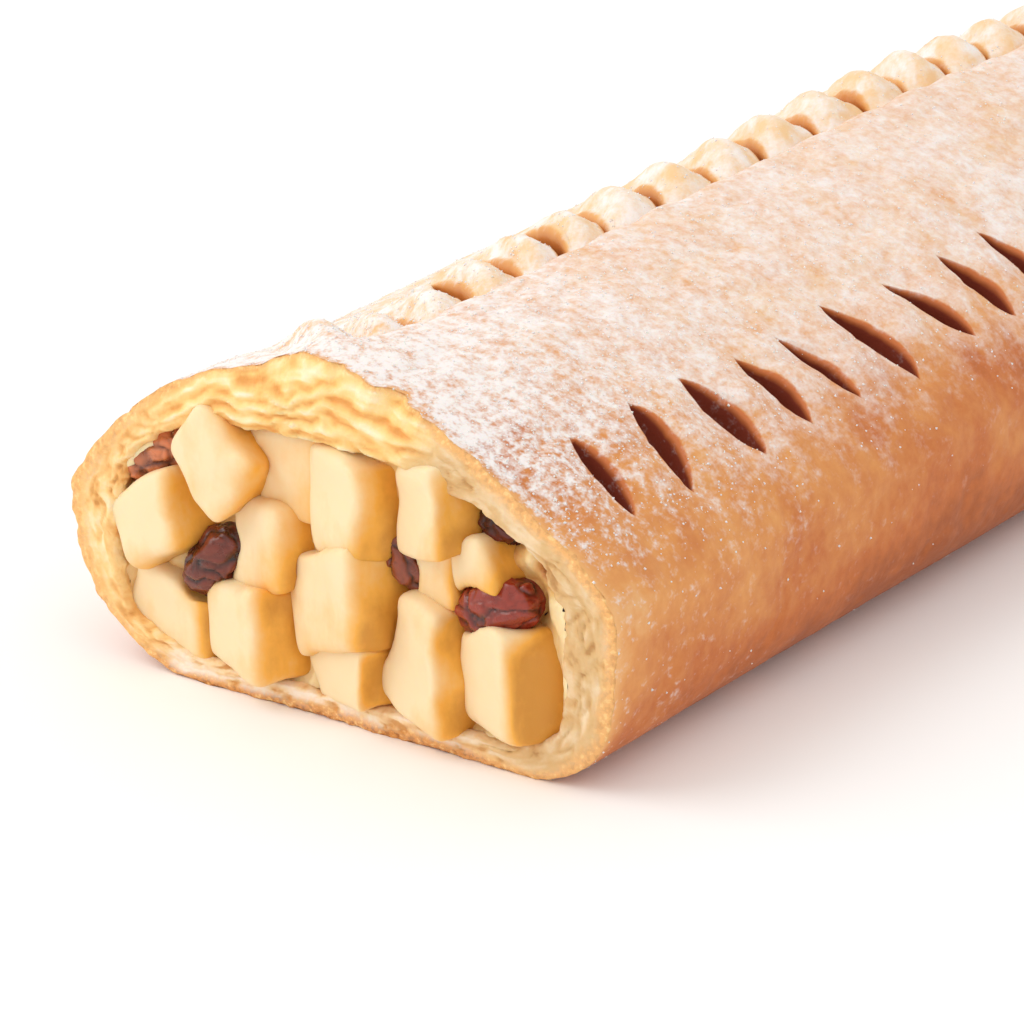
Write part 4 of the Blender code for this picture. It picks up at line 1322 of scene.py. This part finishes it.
def cut_dough(colours):
    """Dough as it shows at the cut: baked edge, golden flaky layers, pale crumb with cracks, brown sole, with
    painted shade in the hollows and paler painted crests.
    """
    f = Finish("cut_dough", specular=0.25, subsurface=0.12, scale=0.0015)
    depth = f.value("depth")
    top = f.value("top")
    bottom = f.value("bottom")
    crest = f.value("crest")
    grain = f.noise(0.0006, 4.0)
    patches = f.noise(0.0035, 3.0)
    crumbs = f.noise(0.0013, 2.0, roughness=0.6)
    strands = f.noise(0.0034, 3.0, (1.0, 1.0, 1.7), 0.5, 0.5)
    spread = f.maths("MULTIPLY_ADD", top, -0.15, 0.5)
    height = f.varied(crest, crumbs, spread)
    height = f.varied(height, grain, 0.22)
    height = f.varied(height, strands, 0.5)
    flaky, crumb, edge = tuple(colours.flaky_layers), tuple(colours.crumb), tuple(colours.crust_edge)
    # Painted shade and light: these ramps darken the hollows and lighten the crests of the relief.
    layers = f.ramp(height, ((0.0, FLAKE_HOLLOW), (0.3, FLAKE_SLOPE), (0.62, flaky), (1.0, FLAKE_CREST)))
    soft = f.ramp(height, ((0.0, CRUMB_HOLLOW), (0.22, CRUMB_SLOPE), (0.5, crumb), (0.9, CRUMB_CREST)))
    folded = f.ramp(height, ((0.0, FOLD_HOLLOW), (0.25, FOLD_SLOPE), (0.55, FOLD_FACE), (0.9, FOLD_CREST)))
    face = f.mix(top, f.mix(f.value("left"), soft, folded), layers)
    face = f.mix(bottom, face, f.ramp(height, ((0.1, SOLE_HOLLOW), (0.45, SOLE_FACE), (0.8, SOLE_CREST))))
    ragged = f.varied(depth, grain, 2.2)
    rim_share = f.span(f.maths("DIVIDE", ragged, f.value("band")), 0.2, 1.3, 0.92, 0.0)
    crust = f.mix(bottom, edge, SOLE_CRUST)
    dark_grain = f.span(grain, 0.5, 0.62, 0.0, f.maths("MULTIPLY_ADD", bottom, 0.6, 0.3))
    crust = f.mix(dark_grain, crust, BROWN_GRAIN)
    crust = f.mix(f.span(grain, 0.36, 0.46, 0.7, 0.0), crust, PALE_GRAIN)
    face = f.mix(rim_share, face, crust)
    # Painted shade: the room's wall darkens the further back it lies.
    face = f.mix(f.maths("MULTIPLY", f.value("inner"), 0.8), face, ROOM_WALL_SHADE)
    normal = f.bump(grain, 0.0004, 0.6)
    normal = f.bump(crumbs, 0.0008, 0.7, normal)
    return f.finish(face, f.span(patches, 0.3, 0.7, 0.6, 0.8), normal)


def apple_flesh(colours):
    """Cooked apple: cream turning golden, moist and slightly see-through, its golden tones also painting
    shade on right sides and in seams.
    """
    f = Finish("apple_flesh_finish", specular=0.4, subsurface=0.22, radius=(1.0, 0.55, 0.2), scale=0.002)
    cooked_and_shade = f.value("cooked_and_shade")
    cloud = f.noise(0.006, 3.0)
    cells = f.noise(0.0005, 2.0)
    veins = f.noise(0.0025, 4.0, (1.0, 1.0, 0.35), 0.6)
    share = f.varied(cooked_and_shade, cloud, 0.9)
    share = f.varied(share, veins, 0.5)
    share = f.varied(share, cells, 0.12)
    cream, gold = tuple(colours.apple_cream), tuple(colours.apple_gold)
    middle = tuple((a * 0.55 + b * 0.45) for a, b in zip(cream, gold))
    deepest_shade = darker(gold, 0.32)
    share = f.maths("MULTIPLY", share, 0.8)
    # The golden and darkest tones here also paint the shade on right sides and in the seams.
    flesh = f.ramp(share, ((0.0, cream), (0.16, cream), (0.42, middle), (0.72, gold), (0.95, deepest_shade)))
    normal = f.bump(f.noise(0.0016, 3.0), 0.00012, 0.5)
    normal = f.bump(cells, 0.00005, 0.5, normal)
    return f.finish(flesh, f.span(cloud, 0.3, 0.7, 0.36, 0.52), normal)


def raisin_skin(name, dark, light, gloss):
    """Wrinkled raisin skin, with painted shade darkening the folds and painted light paling the highest
    crests.
    """
    f = Finish(name, specular=0.45, subsurface=0.12, radius=(1.0, 0.25, 0.1), scale=0.0012)
    f.shader.inputs["Coat Weight"].default_value = gloss
    f.shader.inputs["Coat Roughness"].default_value = 0.16
    crest = f.value("crest")
    bloom = f.noise(0.0015, 3.0)
    share = f.varied(crest, bloom, 0.5)
    # Painted shade in the folds and painted light on the highest crests.
    skin = f.ramp(share, ((0.15, dark), (0.7, light), (1.0, tuple(min(1.0, c * 1.4) for c in light))))
    normal = f.bump(f.noise(0.0007, 4.0), 0.0002, 0.7)
    return f.finish(skin, f.span(bloom, 0.35, 0.65, 0.24, 0.46), normal)


def sauce_finish(colours):
    """Soft cooked apple and juice, golden in front, with painted shade turning it golden brown in the seams
    and deeper back, and dark brown in the gaps.
    """
    f = Finish("sauce_finish", specular=0.5, subsurface=0.3, radius=(1.0, 0.5, 0.2), scale=0.002)
    f.shader.inputs["Coat Weight"].default_value = 0.15
    f.shader.inputs["Coat Roughness"].default_value = 0.2
    depth = f.value("depth")
    cloud = f.noise(0.003, 3.0)
    fibre = f.noise(0.0009, 3.0)
    share = f.varied(depth, cloud, 0.35)
    share = f.varied(share, fibre, 0.15)
    pulp = tuple(colours.sauce)
    stops = ((0.0, PULP_CREST), (0.22, pulp), (0.42, PULP_SEAM_SHADE), (0.6, GAP_SHADE_BROWN), (0.85, GAP_SHADE_DARK))
    pulp_and_shade = f.ramp(share, stops)
    normal = f.bump(f.noise(0.0018, 3.0), 0.0004, 0.6)
    normal = f.bump(fibre, 0.00012, 0.5, normal)
    return f.finish(pulp_and_shade, f.span(cloud, 0.3, 0.7, 0.3, 0.5), normal)


def sugar_finish(colours):
    """Loose icing sugar: matt white with a faint warm shade."""
    f = Finish("sugar_finish", roughness=0.8, specular=0.3, subsurface=0.1, scale=0.0004)
    cloud = f.noise(0.0008, 2.0)
    sugar = tuple(colours.sugar)
    white = f.mix(f.span(cloud, 0.4, 0.6), tuple(c * 0.93 for c in sugar), sugar)
    return f.finish(white, f.span(cloud, 0.3, 0.7, 0.7, 0.9))


def floor_finish(colour):
    """Plain pale floor with the faintest unevenness."""
    f = Finish("floor_finish", specular=0.2)
    cloud = f.noise(0.4, 2.0)
    tone = f.mix(f.span(cloud, 0.3, 0.7), tuple(c * 0.985 for c in colour), tuple(colour))
    return f.finish(tone, f.span(cloud, 0.3, 0.7, 0.6, 0.7))


def new_piece(name, spots, faces, material, values):
    """A smooth mesh piece that rides on the strudel, with named point values."""
    mesh = bpy.data.meshes.new(name)
    mesh.from_pydata(np.asarray(spots).tolist(), [], faces)
    for key, amounts in values.items():
        layer = mesh.attributes.new(key, "FLOAT", "POINT")
        layer.data.foreach_set("value", np.asarray(amounts, dtype=np.float32))
    mesh.shade_smooth()
    mesh.materials.append(material)
    made = bpy.data.objects.new(name, mesh)
    bpy.context.scene.collection.objects.link(made)
    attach(made, "root")
    return made


# ---------------------------------------------------------------------------------------------
# Operators
# ---------------------------------------------------------------------------------------------


class STRUDEL_OT_skin(bpy.types.Operator):
    """Bake the outer skin with its slits"""

    bl_idname = "strudel.skin"
    bl_label = "Dough"

    def execute(self, context):
        scene = context.scene
        skin = build_skin(scene.strudel_shape, sugared_dough(scene.strudel_colours))
        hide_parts("pastry_crust")
        return {"FINISHED"}


class STRUDEL_OT_cut(bpy.types.Operator):
    """Make the rim of dough that shows at the cut"""

    bl_idname = "strudel.cut"
    bl_label = "Cut Rim"

    def execute(self, context):
        scene = context.scene
        made = build_rim(scene.strudel_shape, cut_dough(scene.strudel_colours))
        return {"FINISHED"}


class STRUDEL_OT_apples(bpy.types.Operator):
    """Make the pieces of apple"""

    bl_idname = "strudel.apples"
    bl_label = "Apple Pieces"

    def execute(self, context):
        scene = context.scene
        flesh = apple_flesh(scene.strudel_colours)
        for number, name in enumerate(APPLES):
            made = build_apple(name, scene.strudel_shape, flesh, 100 + 11 * number)
            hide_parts(name)
        return {"FINISHED"}


class STRUDEL_OT_raisins(bpy.types.Operator):
    """Make the raisins"""

    bl_idname = "strudel.raisins"
    bl_label = "Raisins"

    def execute(self, context):
        shape = context.scene.strudel_shape
        for number, name in enumerate(RAISINS):
            finish = raisin_skin(name + "_finish", *RAISIN_TONES[name])
            made = build_raisin(name, shape, finish, 300 + 13 * number)
            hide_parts(name)
        return {"FINISHED"}


class STRUDEL_OT_sauce(bpy.types.Operator):
    """Fill the room behind the cut with soft cooked apple"""

    bl_idname = "strudel.sauce"
    bl_label = "Filling"

    def execute(self, context):
        scene = context.scene
        made = build_sauce(scene.strudel_shape, sauce_finish(scene.strudel_colours))
        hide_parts("fruit_filling")
        return {"FINISHED"}


class STRUDEL_OT_sugar(bpy.types.Operator):
    """Scatter loose icing sugar over the skin"""

    bl_idname = "strudel.sugar"
    bl_label = "Icing Sugar"

    def execute(self, context):
        scene = context.scene
        skin = bpy.data.objects["dough_skin"]
        made = build_grains(scene.strudel_shape, skin, sugar_finish(scene.strudel_colours))
        return {"FINISHED"}


class STRUDEL_OT_stage(bpy.types.Operator):
    """Set up the floor, the lights and the camera"""

    bl_idname = "strudel.stage"
    bl_label = "Stage"

    def execute(self, context):
        scene = context.scene
        stage = scene.strudel_stage
        mesh = bpy.data.meshes.new("floor")
        corners = [(x * FLOOR_REACH, y * FLOOR_REACH, 0.0) for x, y in ((-1, -1), (1, -1), (1, 1), (-1, 1))]
        mesh.from_pydata(corners, [], [(0, 1, 2, 3)])
        mesh.materials.append(floor_finish(stage.floor))
        floor = bpy.data.objects.new("floor", mesh)
        scene.collection.objects.link(floor)

        world = bpy.data.worlds.new("white_room")
        world.use_nodes = True
        background = world.node_tree.nodes["Background"]
        background.inputs["Color"].default_value = (*ROOM_LIGHT, 1.0)
        background.inputs["Strength"].default_value = stage.fill
        scene.world = world

        add_area_light("key", KEY_PLACE, KEY_TARGET, KEY_SIZE, stage.key_power, KEY_LIGHT)

        lens = bpy.data.cameras.new("camera")
        lens.lens = stage.lens
        lens.sensor_width = 36.0
        lens.clip_start = 0.05
        camera = bpy.data.objects.new("camera", lens)
        camera.location = CAMERA_PLACE
        camera.rotation_euler = Vector(CAMERA_AIM).to_track_quat("-Z", "Y").to_euler()
        scene.collection.objects.link(camera)
        scene.camera = camera
        scene.view_settings.view_transform = "Standard"
        return {"FINISHED"}


def add_area_light(name, place, target, size, power, colour):
    """A square soft light aimed at a point."""
    light = bpy.data.lights.new(name, "AREA")
    light.size = size
    light.energy = power
    light.color = colour
    made = bpy.data.objects.new(name, light)
    made.location = place
    made.rotation_euler = (Vector(target) - Vector(place)).to_track_quat("-Z", "Y").to_euler()
    bpy.context.scene.collection.objects.link(made)


class STRUDEL_PT_panel(bpy.types.Panel):
    """The strudel's steps and settings"""

    bl_idname = "STRUDEL_PT_panel"
    bl_label = "Apple Strudel"
    bl_space_type = "VIEW_3D"
    bl_region_type = "UI"
    bl_category = "Strudel"

    def draw(self, context):
        layout = self.layout
        for step in STEPS:
            layout.operator(step.bl_idname)
        scene = context.scene
        for group in (scene.strudel_shape, scene.strudel_colours, scene.strudel_stage):
            box = layout.box()
            for name in group.bl_rna.properties.keys():
                if name not in ("rna_type", "name"):
                    box.prop(group, name)


STEPS = (
    STRUDEL_OT_skin,
    STRUDEL_OT_cut,
    STRUDEL_OT_apples,
    STRUDEL_OT_raisins,
    STRUDEL_OT_sauce,
    STRUDEL_OT_sugar,
    STRUDEL_OT_stage,
)
CLASSES = (StrudelShape, StrudelColours, StrudelStage) + STEPS + (STRUDEL_PT_panel,)


def register():
    """Add the strudel's classes and settings to Blender."""
    for item in CLASSES:
        bpy.utils.register_class(item)
    bpy.types.Scene.strudel_shape = PointerProperty(type=StrudelShape)
    bpy.types.Scene.strudel_colours = PointerProperty(type=StrudelColours)
    bpy.types.Scene.strudel_stage = PointerProperty(type=StrudelStage)


def unregister():
    """Take them out again."""
    del bpy.types.Scene.strudel_shape
    del bpy.types.Scene.strudel_colours
    del bpy.types.Scene.strudel_stage
    for item in reversed(CLASSES):
        bpy.utils.unregister_class(item)


def main():
    """Build the whole strudel."""
    register()
    bpy.ops.strudel.skin()
    bpy.ops.strudel.cut()
    bpy.ops.strudel.apples()
    bpy.ops.strudel.raisins()
    bpy.ops.strudel.sauce()
    bpy.ops.strudel.sugar()
    bpy.ops.strudel.stage()


if __name__ == "__main__":
    main()
